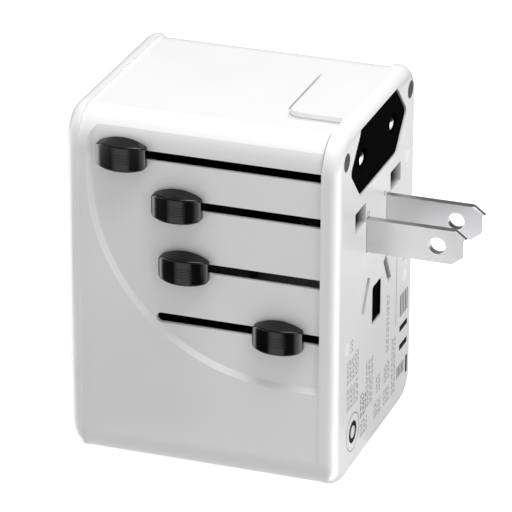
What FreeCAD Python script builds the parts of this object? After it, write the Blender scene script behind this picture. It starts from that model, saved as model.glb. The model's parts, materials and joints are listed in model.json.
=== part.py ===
import FreeCAD, Part
import math
import os
import re
import Sketcher
from FreeCAD import Placement, Rotation, Vector

# Universal travel adapter, in millimetres. The origin is the middle of the flat bottom.
# +X points out of the plug face, +Z up, and the slider knobs are on the -Y side.

PARTS_FOLDER = "parts"

# Driving dimensions. Names that end in _y or _z are places, the others are sizes.
DIMENSIONS = {
    # casing
    "case_depth": 55.6,
    "case_width": 50.0,
    "case_height": 73.5,
    "rim_depth": 3.5,
    "rear_rim_depth": 3.1,
    "plate_thickness": 2.2,
    "cap_corner": 6.8,
    "cap_edge": 2.8,
    "cap_wall": 2.1,
    "sleeve_inset": 0.3,
    "sleeve_top_drop": 0.65,
    "sleeve_corner": 6.6,
    "sleeve_wall": 1.9,
    "sleeve_top_wall": 1.2,
    "tongue_length": 11.4,
    "tongue_half": 12.6,
    "tongue_corner": 3.0,
    "tongue_bevel": 0.35,
    # the recess that the knobs stand in, and the slots
    "recess_depth": 0.85,
    "recess_rise": 1.2,
    "recess_arc": 39.5,
    "recess_centre_x": 16.2,
    "recess_centre_z": 60.6,
    "recess_taper": 50.0,
    "recess_reach": 14.0,
    "slot_height": 2.05,
    "eu_slot_z": 65.75,
    "uk_slot_z": 56.6,
    "au_slot_z": 43.93,
    "us_slot_z": 32.25,
    "eu_slot_rear": -20.9,
    "uk_slot_rear": -9.9,
    "au_slot_rear": -8.9,
    "us_slot_rear": -9.3,
    # knobs
    "knob_length": 10.1,
    "knob_depth": 3.1,
    "knob_end_height": 4.2,
    "knob_middle_height": 5.1,
    "knob_back_height": 7.0,
    "knob_back_y": -24.7,
    "knob_crown": 1.9,
    "knob_corner": 0.9,
    "knob_softness": 0.35,
    "knob_neck_half": 2.7,
    "knob_neck_height": 1.6,
    "knob_foot_outer": 22.3,
    "knob_foot_inner": 20.9,
    "fork_half": 4.0,
    "fork_gap_half": 2.9,
    "fork_plate_outer": 17.6,
    "fork_plate_inner": 16.4,
    "fork_cheek_outer": 21.8,
    "knob_coil_radius": 1.05,
    "knob_wire_radius": 0.18,
    "eu_knob_x": -15.75,
    "uk_knob_x": -4.5,
    "au_knob_x": -3.1,
    "us_knob_x": 16.05,
    # plug face
    "eu_centre_z": 65.05,
    "eu_outline_z": 64.8,
    "eu_tip_half": 17.95,
    "eu_flat_half": 11.5,
    "eu_half_height": 6.8,
    "eu_block_corner": 1.5,
    "eu_block_softness": 0.3,
    "eu_block_inset": 0.25,
    "eu_tip_inset": 0.3,
    "eu_stop_width": 2.3,
    "eu_stop_length": 1.5,
    "eu_stop_drop": 2.2,
    "eu_stop_rise": 1.1,
    "eu_pin_spread": 19.0,
    "eu_pin_radius": 2.0,
    "eu_core_radius": 1.4,
    "eu_bare_length": 10.0,
    "eu_root_length": 6.0,
    "eu_block_rear": 9.0,
    "eu_carriage_rear": -20.0,
    "eu_pin_travel": 19.0,
    "uk_line_z": 53.2,
    "uk_line_spread": 22.2,
    "uk_line_width": 6.35,
    "uk_line_height": 4.0,
    "uk_bare_length": 8.5,
    "uk_sleeve_wall": 0.6,
    "guide_flange": 0.6,
    "guide_rim": 0.8,
    "uk_earth_z": 31.0,
    "uk_earth_width": 4.0,
    "uk_earth_height": 8.0,
    "uk_earth_inset": 0.25,
    "earth_opening_width": 5.5,
    "earth_opening_corner": 0.7,
    "pin_bevel": 0.8,
    "earth_pin_bevel": 0.3,
    "uk_travel": 20.3,
    "pin_opening_gap": 0.15,
    "us_centre_z": 48.0,
    "us_spread": 12.7,
    "us_blade_height": 6.9,
    "blade_thickness": 1.5,
    "us_protrusion": 19.9,
    "us_tip_length": 2.1,
    "us_tip_cut": 1.55,
    "us_tip_bevel": 0.35,
    "us_bridge_length": 10.0,
    "us_hole_from_tip": 5.7,
    "us_hole_radius": 1.7,
    "au_centre_z": 35.03,
    "au_spread": 13.7,
    "au_blade_width": 6.7,
    "au_tilt": 30.0,
    "au_travel": 19.9,
    "pin_recess": 2.6,
    "blade_gap": 0.25,
    # room between parts: sliding ones, and ones that only must not touch
    "slide_gap": 0.2,
    "touch_gap": 0.05,
    # screws and their covers
    "top_screw_y": 20.06,
    "top_screw_z": 68.26,
    "top_cover_radius": 1.85,
    "low_screw_y": 18.5,
    "low_screw_z": 28.7,
    "side_screw_z": 54.65,
    "low_cover_radius": 1.4,
    "boss_length": 10.0,
    "boss_radius": 2.0,
    "screw_radius": 0.9,
    "screw_length": 9.0,
    "screw_seat": 0.4,
    "screw_head": 1.0,
    # socket
    "socket_line_z": 31.0,
    "socket_spread": 22.2,
    "socket_rise": 22.2,
    "socket_uk_half": 3.6,
    "socket_eu_radius": 2.6,
    "well_half": 5.9,
    "well_half_height": 5.0,
    "well_depth": 4.8,
    "contact_sheet": 0.6,
    "bus_bar": 0.8,
    "shutter_coil_radius": 1.2,
    "shutter_wire_radius": 0.2,
    # inner shelf and charger
    "shelf_low": 22.8,
    "shelf_thickness": 1.4,
    "board_z": 6.0,
    "board_thickness": 1.6,
    "core_rear": -8.0,
    "core_front": 6.0,
    "core_height": 13.0,
    "core_bar": 3.0,
    "core_leg": 2.5,
    "port_half_spread": 9.5,
    "port_half": 6.6,
    "port_height": 5.6,
    "port_sheet": 0.3,
    "port_back": -14.0,
    "light_z": 20.0,
    "light_radius": 1.45,
    "port_centre_z": 10.4,
    "fuse_y": 18.9,
    "fuse_z": 42.0,
    "fuse_radius": 3.15,
    "fuse_length": 25.4,
    "fuse_end_length": 6.0,
    "fuse_inset": 3.7,
    "fuse_cap_radius": 4.0,
    "fuse_clip_length": 3.0,
}

doc = FreeCAD.newDocument("travel_adapter")
sheet = doc.addObject("Spreadsheet::Sheet", "dims")
sub_parts = []


def fill_sheet():
    """Write each driving dimension to the sheet, with its name as the alias."""
    for row, (name, value) in enumerate(DIMENSIONS.items(), start=1):
        sheet.set(f"A{row}", name)
        sheet.set(f"B{row}", str(value))
        sheet.setAlias(f"B{row}", name)
    doc.recompute()


def linked(expression):
    """Put the sheet's name in front of each alias of an expression."""
    def prefix(word):
        return "dims." + word.group() if word.group() in DIMENSIONS else word.group()
    return re.sub(r"[a-z_]+", prefix, str(expression))


def value(expression):
    """Work an expression out with the sheet's values, for code that needs a number."""
    def number(word):
        return str(DIMENSIONS[word.group()]) if word.group() in DIMENSIONS else word.group()
    return sheet.evalExpression(re.sub(r"[a-z_]+", number, f"({expression}) * 1.0"))


def tie(thing, **expressions):
    """Bind properties to the sheet. x, y and z are the placement's."""
    for name, expression in expressions.items():
        path = f".Placement.Base.{name}" if name in ("x", "y", "z") else name
        thing.setExpression(path, linked(expression))


def new(kind, label):
    thing = doc.addObject(kind, label)
    thing.Label = label
    return thing


def keep(thing, label):
    """Mark an object as a finished sub-part of the adapter."""
    thing.Label = label
    sub_parts.append(thing)
    return thing


# ---- primitives, each between two places on every axis ----

def block(label, along_x, along_y, along_z):
    box = new("Part::Box", label)
    spans = (along_x, along_y, along_z)
    for side, start, (low, high) in zip(("Length", "Width", "Height"), "xyz", spans):
        tie(box, **{side: f"({high}) - ({low})", start: low})
    return box


TURN_TO = {
    "x": Rotation(Vector(0, 1, 0), 90),
    "y": Rotation(Vector(1, 0, 0), -90),
    "z": Rotation(),
}


def rod(label, axis, start, centre, length, radius):
    """A cylinder along an axis from a start place. centre holds the other two places."""
    cylinder = new("Part::Cylinder", label)
    cylinder.Placement = Placement(Vector(), TURN_TO[axis])
    others = [name for name in "xyz" if name != axis]
    places = {axis: start, others[0]: centre[0], others[1]: centre[1]}
    tie(cylinder, Radius=radius, Height=length, **places)
    return cylinder


def fuse(label, *shapes):
    union = new("Part::MultiFuse", label)
    union.Shapes = list(shapes)
    union.Refine = True
    return union


def cut(label, base, *tools):
    difference = new("Part::Cut", label)
    difference.Base = base
    difference.Tool = tools[0] if len(tools) == 1 else fuse(label + "_tools", *tools)
    return difference


def group(label, *shapes):
    """Several separate solids of the same kind in one sub-part."""
    compound = new("Part::Compound", label)
    compound.Links = list(shapes)
    return compound


# ---- sketches and PartDesign features ----

def new_body(label):
    return new("PartDesign::Body", label)


def new_sketch(body, plane, name, offset=None):
    sketch = body.newObject("Sketcher::SketchObject", name)
    origin_plane = [item for item in body.Origin.OriginFeatures if item.Role == plane][0]
    sketch.AttachmentSupport = [(origin_plane, "")]
    sketch.MapMode = "FlatFace"
    if offset is not None:
        sketch.setExpression(".AttachmentOffset.Base.z", linked(offset))
    return sketch


def fix_point(sketch, line, end, place):
    """Tie one end of a line, or a circle's centre, to two places from the sheet."""
    for direction, expression in zip(("DistanceX", "DistanceY"), place):
        constraint = Sketcher.Constraint(direction, -1, 1, line, end, value(expression))
        index = sketch.addConstraint(constraint)
        sketch.setExpression(f"Constraints[{index}]", linked(expression))


def draw_polygon(sketch, corners):
    """A closed outline of straight lines, each corner tied to the sheet."""
    points = [Vector(value(across), value(up), 0) for across, up in corners]
    first = sketch.GeometryCount
    for here, there in zip(points, points[1:] + points[:1]):
        sketch.addGeometry(Part.LineSegment(here, there), False)
    for index, corner in enumerate(corners):
        following = first + (index + 1) % len(corners)
        sketch.addConstraint(Sketcher.Constraint("Coincident", first + index, 2, following, 1))
        fix_point(sketch, first + index, 1, corner)


def draw_circle(sketch, centre, radius):
    middle = Vector(value(centre[0]), value(centre[1]), 0)
    index = sketch.addGeometry(Part.Circle(middle, Vector(0, 0, 1), value(radius)), False)
    fix_point(sketch, index, 3, centre)
    size = sketch.addConstraint(Sketcher.Constraint("Radius", index, value(radius)))
    sketch.setExpression(f"Constraints[{size}]", linked(radius))


def draw_rectangle(sketch, across, up):
    draw_polygon(sketch, [(across[0], up[0]), (across[1], up[0]),
                          (across[1], up[1]), (across[0], up[1])])


def pad(body, sketch, length, name, backward=False):
    feature = body.newObject("PartDesign::Pad", name)
    feature.Profile = sketch
    feature.Reversed = backward
    feature.setExpression("Length", linked(length))
    doc.recompute()
    return feature


def pocket(body, sketch, length, name, backward=False):
    """Cut a sketch into the body, and make sure that it removed something."""
    before = body.Shape.Volume
    feature = body.newObject("PartDesign::Pocket", name)
    feature.Profile = sketch
    feature.Reversed = backward
    feature.setExpression("Length", linked(length))
    doc.recompute()
    if not body.Shape.Volume < before - 1e-6:
        raise RuntimeError(f"{name} cuts nothing")
    return feature


def dress(body, kind, size_name, size, name, wanted):
    """Round or bevel the edges for which wanted(edge) is true."""
    edges = [f"Edge{i}" for i, edge in enumerate(body.Shape.Edges, start=1) if wanted(edge)]
    if not edges:
        raise RuntimeError(f"{name} finds no edges")
    base = body.Tip
    feature = body.newObject(kind, name)
    feature.Base = (base, edges)
    feature.setExpression(size_name, linked(size))
    doc.recompute()
    return feature


def round_edges(body, size, name, wanted):
    return dress(body, "PartDesign::Fillet", "Radius", size, name, wanted)


def bevel_edges(body, size, name, wanted):
    return dress(body, "PartDesign::Chamfer", "Size", size, name, wanted)


def runs_along(edge, axis):
    """True for a straight edge parallel to an axis."""
    if len(edge.Vertexes) != 2:
        return False
    along = edge.Vertexes[1].Point - edge.Vertexes[0].Point
    straight = abs(edge.Length - along.Length) < 1e-4
    return straight and abs(getattr(along, axis)) > 0.999 * along.Length


def lies_at(edge, axis, place):
    """True where the whole edge lies at one place along an axis."""
    box = edge.BoundBox
    low = getattr(box, axis.upper() + "Min")
    high = getattr(box, axis.upper() + "Max")
    return abs(low - place) < 1e-3 and abs(high - place) < 1e-3


FRONT = "case_depth / 2"
FRONT_SEAM = "case_depth / 2 - rim_depth"
REAR = "-case_depth / 2"
REAR_SEAM = "-case_depth / 2 + rear_rim_depth"
PLATE_BACK = "case_depth / 2 - plate_thickness"
REAR_PLATE_FRONT = "-case_depth / 2 + plate_thickness"
SLEEVE_HALF = "case_width / 2 - sleeve_inset"
SLEEVE_TOP = "case_height - sleeve_top_drop"
INNER_HALF = "case_width / 2 - sleeve_inset - sleeve_wall"


# ---- casing ----

SCREWS = [
    ("top_left", "-top_screw_y", "top_screw_z", "top_cover_radius"),
    ("top_right", "top_screw_y", "top_screw_z", "top_cover_radius"),
    ("side_right", "low_screw_y", "side_screw_z", "low_cover_radius"),
    ("low_left", "-low_screw_y", "low_screw_z", "low_cover_radius"),
    ("low_right", "low_screw_y", "low_screw_z", "low_cover_radius"),
]


def cap_blank(body, face, name, length, backward):
    """The rounded slab that a cap is cut from, with its outer edge rounded."""
    sketch = new_sketch(body, "YZ_Plane", name + "_outline", face)
    draw_rectangle(sketch, ("-case_width / 2", "case_width / 2"), ("0", "case_height"))
    pad(body, sketch, length, name + "_slab", backward)
    round_edges(body, "cap_corner", name + "_corners", lambda edge: runs_along(edge, "x"))
    place = value(face)
    round_edges(body, "cap_edge", name + "_edge", lambda edge: lies_at(edge, "x", place))


def hollow_cap(body, open_at, name, length, backward):
    """Cut the inside of a cap's rim."""
    sketch = new_sketch(body, "YZ_Plane", name + "_inside", open_at)
    half = "case_width / 2 - cap_wall"
    bevel = "cap_corner - cap_wall"
    low = "cap_wall"
    high = "case_height - cap_wall"
    draw_polygon(sketch, [
        (f"-({half}) + {bevel}", low), (f"({half}) - ({bevel})", low),
        (half, f"{low} + {bevel}"), (half, f"{high} - ({bevel})"),
        (f"({half}) - ({bevel})", high), (f"-({half}) + {bevel}", high),
        (f"-({half})", f"{high} - ({bevel})"), (f"-({half})", f"{low} + {bevel}"),
    ])
    pocket(body, sketch, length, name + "_hollow", backward)


def au_corners(side):
    """Corners of one slanted opening. The two lean towards each other at the top."""
    half_long = "(au_blade_width / 2 + pin_opening_gap * 2)"
    half_thin = "(blade_thickness / 2 + blade_gap)"
    lean = f"{side} * au_tilt"
    corners = []
    for long_sign, thin_sign in ((-1, -1), (-1, 1), (1, 1), (1, -1)):
        across = (f"{side} * au_spread / 2 - {long_sign} * {half_long} * sin({lean})"
                  f" + {thin_sign} * {half_thin} * cos({lean})")
        up = (f"au_centre_z + {long_sign} * {half_long} * cos({lean})"
              f" + {thin_sign} * {half_thin} * sin({lean})")
        corners.append((across, up))
    return corners


def hexagon(shrink):
    """The Europlug outline: flat top and bottom, pointed sides."""
    tip = f"eu_tip_half - {shrink}"
    flat = f"eu_flat_half - {shrink} / 2"
    half = f"(eu_half_height - {shrink})"
    low = f"eu_outline_z - {half}"
    high = f"eu_outline_z + {half}"
    return [(f"-({flat})", low), (flat, low), (tip, "eu_outline_z"),
            (flat, high), (f"-({flat})", high), (f"-({tip})", "eu_outline_z")]


def draw_plug_openings(sketch):
    draw_polygon(sketch, hexagon("0"))
    half_wide = "(uk_line_width / 2 + pin_opening_gap)"
    half_high = "(uk_line_height / 2 + pin_opening_gap)"
    for side in (-1, 1):
        middle = f"{side} * uk_line_spread / 2"
        draw_rectangle(sketch, (f"{middle} - {half_wide}", f"{middle} + {half_wide}"),
                       (f"uk_line_z - {half_high}", f"uk_line_z + {half_high}"))
        blade = f"{side} * us_spread / 2"
        gap = "(blade_thickness / 2 + blade_gap)"
        reach = "(us_blade_height / 2 + blade_gap)"
        draw_rectangle(sketch, (f"{blade} - {gap}", f"{blade} + {gap}"),
                       (f"us_centre_z - {reach}", f"us_centre_z + {reach}"))
        draw_polygon(sketch, au_corners(side))
    earth_wide = "(earth_opening_width / 2)"
    earth_high = "(uk_earth_height / 2 + pin_opening_gap)"
    draw_rectangle(sketch, (f"-{earth_wide}", earth_wide),
                   (f"uk_earth_z - {earth_high}", f"uk_earth_z + {earth_high}"))


def make_front_cap():
    body = new_body("front_cap")
    cap_blank(body, FRONT, "front", "rim_depth", True)
    hollow_cap(body, FRONT_SEAM, "front", "rim_depth - plate_thickness", True)
    openings = new_sketch(body, "YZ_Plane", "plug_openings", FRONT)
    draw_plug_openings(openings)
    pocket(body, openings, "plate_thickness", "plug_openings_cut")
    round_edges(body, "pin_opening_gap * 2.5", "line_opening_corners",
                lambda edge: runs_along(edge, "x") and is_line_corner(edge))
    round_edges(body, "earth_opening_corner", "earth_opening_corners",
                lambda edge: runs_along(edge, "x") and is_earth_corner(edge))
    round_edges(body, "eu_block_corner", "block_opening_corners",
                lambda edge: runs_along(edge, "x") and is_block_corner(edge))
    pads = new_sketch(body, "YZ_Plane", "screw_pads", FRONT_SEAM)
    for _, across, up, _ in SCREWS:
        draw_circle(pads, (across, up), "boss_radius")
    pad(body, pads, "rim_depth - plate_thickness", "screw_pads_pad")
    shanks = new_sketch(body, "YZ_Plane", "screw_holes", FRONT)
    heads = new_sketch(body, "YZ_Plane", "screw_counterbores", FRONT)
    for _, across, up, radius in SCREWS:
        draw_circle(shanks, (across, up), "screw_radius + 0.1")
        draw_circle(heads, (across, up), radius)
    pocket(body, shanks, "rim_depth", "screw_holes_cut")
    pocket(body, heads, "plate_thickness - screw_seat", "screw_counterbores_cut")
    add_tongue(body)
    return keep(body, "front_cap")


def add_tongue(body):
    """The flat tongue that runs back from the front cap over the sleeve's top."""
    tongue = new_sketch(body, "XY_Plane", "tongue_outline", "case_height")
    draw_rectangle(tongue, (f"{FRONT_SEAM} - tongue_length", FRONT_SEAM),
                   ("-tongue_half", "tongue_half"))
    pad(body, tongue, "sleeve_top_drop", "tongue_pad", True)
    rear = value(f"{FRONT_SEAM} - tongue_length")
    seam = value(FRONT_SEAM)
    top = value("case_height")
    round_edges(body, "tongue_corner", "tongue_corners",
                lambda edge: runs_along(edge, "z") and lies_at(edge, "x", rear))
    bevel_edges(body, "tongue_bevel", "tongue_bevels",
                lambda edge: lies_at(edge, "z", top) and rear - 0.01 < edge.BoundBox.XMin < seam - 1
                and edge.BoundBox.XMax < seam + 0.01)


def is_line_corner(edge):
    """True for an edge of an opening for a UK line or neutral pin."""
    box = edge.BoundBox
    inner = value("uk_line_spread / 2 - uk_line_width / 2 - pin_opening_gap")
    outer = value("uk_line_spread / 2 + uk_line_width / 2 + pin_opening_gap")
    reach = value("uk_line_height / 2 + pin_opening_gap")
    return (inner - 0.1 < abs(box.YMin) < outer + 0.1
            and abs(box.ZMin - value("uk_line_z")) < reach + 0.1)


def is_earth_corner(edge):
    """True for an edge of the opening for the UK earth pin."""
    box = edge.BoundBox
    reach = value("uk_earth_height / 2 + pin_opening_gap")
    return (abs(box.YMin) < value("earth_opening_width / 2") + 0.1
            and abs(box.ZMin - value("uk_earth_z")) < reach + 0.1)


def is_block_corner(edge):
    """True for an edge at the tips or the bottom of the Europlug block's opening."""
    low = value("eu_outline_z - eu_half_height")
    box = edge.BoundBox
    return low - 0.1 < box.ZMin < low + 7 and abs(box.YMin) < value("eu_tip_half") + 0.1


SLOTS = ("eu", "uk", "au", "us")


def make_sleeve():
    body = new_body("sleeve_body")
    sleeve_blank(body, "sleeve", f"({FRONT_SEAM}) - ({REAR_SEAM})")
    bore = new_sketch(body, "YZ_Plane", "sleeve_inside", REAR_SEAM)
    bevel = "(sleeve_corner - sleeve_wall)"
    top = f"({SLEEVE_TOP} - sleeve_top_wall)"
    draw_polygon(bore, [
        (f"-({INNER_HALF}) + {bevel}", "sleeve_wall"), (f"({INNER_HALF}) - {bevel}", "sleeve_wall"),
        (INNER_HALF, f"sleeve_wall + {bevel}"), (INNER_HALF, f"{top} - {bevel}"),
        (f"({INNER_HALF}) - {bevel}", top), (f"-({INNER_HALF}) + {bevel}", top),
        (f"-({INNER_HALF})", f"{top} - {bevel}"), (f"-({INNER_HALF})", f"sleeve_wall + {bevel}"),
    ])
    pocket(body, bore, f"({FRONT_SEAM}) - ({REAR_SEAM})", "sleeve_bore", True)
    cut_slots(body)
    add_bosses(body)
    floor = new_body("recess_floor")
    tie(floor, y="recess_depth", z="recess_rise")
    sleeve_blank(floor, "floor", "case_depth + recess_reach")
    recess = cut("recess", recess_field(), floor)
    return keep(cut("main_sleeve", body, recess), "main_sleeve")


def sleeve_blank(body, name, length):
    """The rounded bar that the sleeve is cut from, forward from the rear seam."""
    outline = new_sketch(body, "YZ_Plane", name + "_outline", REAR_SEAM)
    draw_rectangle(outline, (f"-({SLEEVE_HALF})", SLEEVE_HALF), ("0", SLEEVE_TOP))
    pad(body, outline, length, name + "_bar")
    round_edges(body, "sleeve_corner", name + "_corners", lambda edge: runs_along(edge, "x"))


def recess_field():
    """The room above the recess: an arc at its lower rear corner, open to the top and front.

    It narrows inwards, which gives the recess its sloping wall. Its top and front lie well
    outside the casing, so only the arc and the lower edge leave a wall.
    """
    body = new_body("recess_field")
    sketch = new_sketch(body, "XZ_Plane", "recess_outline", SLEEVE_HALF)
    centre = Vector(value("recess_centre_x"), value("recess_centre_z"), 0)
    radius = value("recess_arc")
    left = centre.x - radius
    low = centre.y - radius
    beyond = value("case_depth / 2 + recess_reach")
    above = value("case_height + recess_reach")
    arc = Part.ArcOfCircle(Part.Circle(centre, Vector(0, 0, 1), radius), math.pi, 1.5 * math.pi)
    corners = [Vector(centre.x, low, 0), Vector(beyond, low, 0), Vector(beyond, above, 0),
               Vector(left, above, 0), Vector(left, centre.y, 0)]
    sketch.addGeometry(arc, False)
    for here, there in zip(corners, corners[1:]):
        sketch.addGeometry(Part.LineSegment(here, there), False)
    sketch.addConstraint(Sketcher.Constraint("Coincident", 0, 2, 1, 1))
    for index in range(1, 4):
        sketch.addConstraint(Sketcher.Constraint("Coincident", index, 2, index + 1, 1))
    sketch.addConstraint(Sketcher.Constraint("Coincident", 4, 2, 0, 1))
    for index in (1, 3):
        sketch.addConstraint(Sketcher.Constraint("Horizontal", index))
    sketch.addConstraint(Sketcher.Constraint("Vertical", 2))
    size = sketch.addConstraint(Sketcher.Constraint("Radius", 0, radius))
    sketch.setExpression(f"Constraints[{size}]", linked("recess_arc"))
    fix_point(sketch, 0, 3, ("recess_centre_x", "recess_centre_z"))
    fix_point(sketch, 2, 2, ("case_depth / 2 + recess_reach", "case_height + recess_reach"))
    field = pad(body, sketch, "sleeve_corner + recess_depth + 1", "recess_room", True)
    field.setExpression("TaperAngle", linked("-recess_taper"))
    doc.recompute()
    return body


def cut_slots(body):
    """The four long slots that the knobs' necks run in, open at the front seam."""
    sketch = new_sketch(body, "XZ_Plane", "slot_outlines", SLEEVE_HALF)
    half = "slot_height / 2"
    for name in SLOTS:
        rear = f"{name}_slot_rear + {half}"
        level = f"{name}_slot_z"
        draw_rectangle(sketch, (rear, "case_depth / 2"), (f"{level} - {half}", f"{level} + {half}"))
    pocket(body, sketch, "sleeve_wall + 1", "slots")
    ends = new_sketch(body, "XZ_Plane", "slot_ends", SLEEVE_HALF)
    for name in SLOTS:
        draw_circle(ends, (f"{name}_slot_rear + {half}", f"{name}_slot_z"), half)
    pocket(body, ends, "sleeve_wall + 1", "slot_ends_cut")


def add_bosses(body):
    """Screw bosses at the front of the sleeve, each joined to the nearest wall by a web."""
    sketch = new_sketch(body, "YZ_Plane", "bosses", FRONT_SEAM)
    for _, across, up, _ in SCREWS:
        draw_circle(sketch, (across, up), "boss_radius")
    pad(body, sketch, "boss_length", "bosses_pad", True)
    webs = new_sketch(body, "YZ_Plane", "boss_webs", FRONT_SEAM)
    for side in (-1, 1):
        middle = f"{side} * top_screw_y"
        draw_rectangle(webs, (f"{middle} - 0.7", f"{middle} + 0.7"),
                       ("top_screw_z", f"{SLEEVE_TOP} - sleeve_corner / 3"))
        near = f"{side} * low_screw_y"
        far = f"{side} * ({SLEEVE_HALF} - sleeve_wall / 2)"
        draw_rectangle(webs, (near, far), ("low_screw_z - 0.7", "low_screw_z + 0.7"))
    far = f"{SLEEVE_HALF} - sleeve_wall / 2"
    draw_rectangle(webs, ("low_screw_y", far), ("side_screw_z - 0.7", "side_screw_z + 0.7"))
    pad(body, webs, "boss_length", "webs_pad", True)
    holes = new_sketch(body, "YZ_Plane", "boss_holes", FRONT_SEAM)
    for _, across, up, _ in SCREWS:
        draw_circle(holes, (across, up), "screw_radius")
    pocket(body, holes, "boss_length - 1", "boss_holes_cut")


def socket_side_cutter(side):
    """One live opening of the socket: UK, EU, US and AU pins share it."""
    names = f"socket_{'left' if side < 0 else 'right'}"
    depth = (REAR, f"{REAR} + well_depth")
    uk_middle = f"{side} * socket_spread / 2"
    us_middle = f"{side} * us_spread / 2"
    uk = block(names + "_uk", depth, (f"{uk_middle} - socket_uk_half", f"{uk_middle} + socket_uk_half"),
               ("socket_line_z - 2.3", "socket_line_z + 2.3"))
    eu = rod(names + "_eu", "x", REAR, (f"{side} * eu_pin_spread / 2", "socket_line_z"),
             "well_depth", "socket_eu_radius")
    us = block(names + "_us", depth, (f"{us_middle} - 1.1", f"{us_middle} + 1.1"),
               ("socket_line_z - 4.1", "socket_line_z + 4.1"))
    return fuse(names, uk, eu, us)


def make_rear_cap():
    """The socket face: live and earth openings with short wells, two USB openings, fuse, light."""
    body = new_body("rear_cap_blank")
    cap_blank(body, REAR, "rear", "rear_rim_depth", False)
    hollow_cap(body, REAR_PLATE_FRONT, "rear", "rear_rim_depth - plate_thickness", True)
    earth_z = "socket_line_z + socket_rise"
    deep = (f"{REAR} + 1", f"{REAR} + well_depth")
    wells = [block("well_earth", deep, ("-3.4", "3.4"), (f"{earth_z} - 5.4", f"{earth_z} + 4.8"))]
    cutters = [
        block("earth_opening", (REAR, f"{REAR} + well_depth"), ("-2.4", "2.4"),
              (f"{earth_z} - 4.4", f"{earth_z} + 4.4")),
        rod("fuse_opening", "x", REAR, ("fuse_y", "fuse_z"), "plate_thickness",
            "fuse_cap_radius + 0.1"),
        rod("light_opening", "x", REAR, ("0", "light_z"), "plate_thickness",
            "light_radius + touch_gap"),
    ]
    for side, name in ((-1, "left"), (1, "right")):
        well = f"{side} * 10"
        wells.append(block(f"well_{name}", deep, (f"{well} - well_half", f"{well} + well_half"),
                           ("socket_line_z - well_half_height", "socket_line_z + well_half_height")))
        cutters.append(socket_side_cutter(side))
        port = f"{side} * port_half_spread"
        cutters.append(block(f"port_opening_{name}", (REAR, REAR_PLATE_FRONT),
                             (f"{port} - port_half - 0.1", f"{port} + port_half + 0.1"),
                             ("port_centre_z - 2.9", "port_centre_z + 2.9")))
    return keep(cut("rear_cap", fuse("rear_cap_solid", body, *wells), *cutters), "rear_cap")


def make_screws():
    """Screws, and the covers that hide their heads in the plug face."""
    seat = f"{PLATE_BACK} + screw_seat"
    screws = []
    covers = {"top": [], "low": []}
    for name, across, up, radius in SCREWS:
        head = rod(name + "_screw_head", "x", seat, (across, up), "screw_head",
                   f"{radius} - pin_opening_gap")
        shank = rod(name + "_screw_shank", "x", f"{seat} - screw_length", (across, up),
                    "screw_length + 0.2", "screw_radius - 0.02")
        screws.append(fuse(name + "_screw", head, shank))
        top = name.startswith("top")
        front = f"{FRONT} - touch_gap" if top else f"{FRONT} + 0.02"
        rear = f"{seat} + screw_head + touch_gap"
        covers["top" if top else "low"].append(
            rod(name + "_cover", "x", rear, (across, up), f"({front}) - ({rear})",
                f"{radius} - 0.03"))
    keep(group("casing_screws", *screws), "casing_screws")
    keep(group("top_screw_covers", *covers["top"]), "top_screw_covers")
    keep(group("small_screw_plugs", *covers["low"]), "small_screw_plugs")


# ---- sliders: each knob, its neck, the fork that carries it and its spring ----

FORK_PLATE = ("-fork_plate_outer", "-fork_plate_inner")
FORK_CHEEK = ("-fork_cheek_outer", "-fork_plate_inner")


def knob_outline(body, name, middle_height, offset):
    """An outline across the knob's axis of travel: two bowed edges joined by upright ends."""
    sketch = new_sketch(body, "XZ_Plane", name, offset)
    half_long = value("knob_length / 2")
    half_end = value("knob_end_height / 2")
    bow = value(f"({middle_height} - knob_end_height) / 2")
    radius = (half_long ** 2 + bow ** 2) / (2 * bow)
    reach = math.asin(half_long / radius)
    for side in (1, -1):
        circle = Part.Circle(Vector(0, side * (half_end + bow - radius), 0), Vector(0, 0, 1), radius)
        middle = side * math.pi / 2
        sketch.addGeometry(Part.ArcOfCircle(circle, middle - reach, middle + reach), False)
    for side in (-1, 1):
        sketch.addGeometry(Part.LineSegment(Vector(side * half_long, -side * half_end, 0),
                                            Vector(side * half_long, side * half_end, 0)), False)
    upper, lower, left, right = range(4)
    start, end = 1, 2
    x_axis, y_axis = -1, -2
    for one, one_end, other, other_end in ((upper, end, left, start), (left, end, lower, start),
                                           (lower, end, right, start), (right, end, upper, start)):
        sketch.addConstraint(Sketcher.Constraint("Coincident", one, one_end, other, other_end))
    sketch.addConstraint(Sketcher.Constraint("Symmetric", upper, start, upper, end, y_axis))
    sketch.addConstraint(Sketcher.Constraint("Symmetric", left, start, left, end, x_axis))
    sketch.addConstraint(Sketcher.Constraint("Symmetric", right, start, right, end, x_axis))
    sketch.addConstraint(Sketcher.Constraint("Equal", upper, lower))
    long = sketch.addConstraint(Sketcher.Constraint("DistanceX", left, end, right, start,
                                                    2 * half_long))
    sketch.setExpression(f"Constraints[{long}]", linked("knob_length"))
    high = sketch.addConstraint(Sketcher.Constraint("DistanceY", right, start, right, end,
                                                    2 * half_end))
    sketch.setExpression(f"Constraints[{high}]", linked("knob_end_height"))
    curve = sketch.addConstraint(Sketcher.Constraint("Radius", upper, radius))
    rise = f"(({middle_height} - knob_end_height) / 2)"
    sketch.setExpression(f"Constraints[{curve}]",
                         linked(f"((knob_length / 2) ^ 2 + {rise} ^ 2) / (2 * {rise})"))
    return sketch


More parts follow.
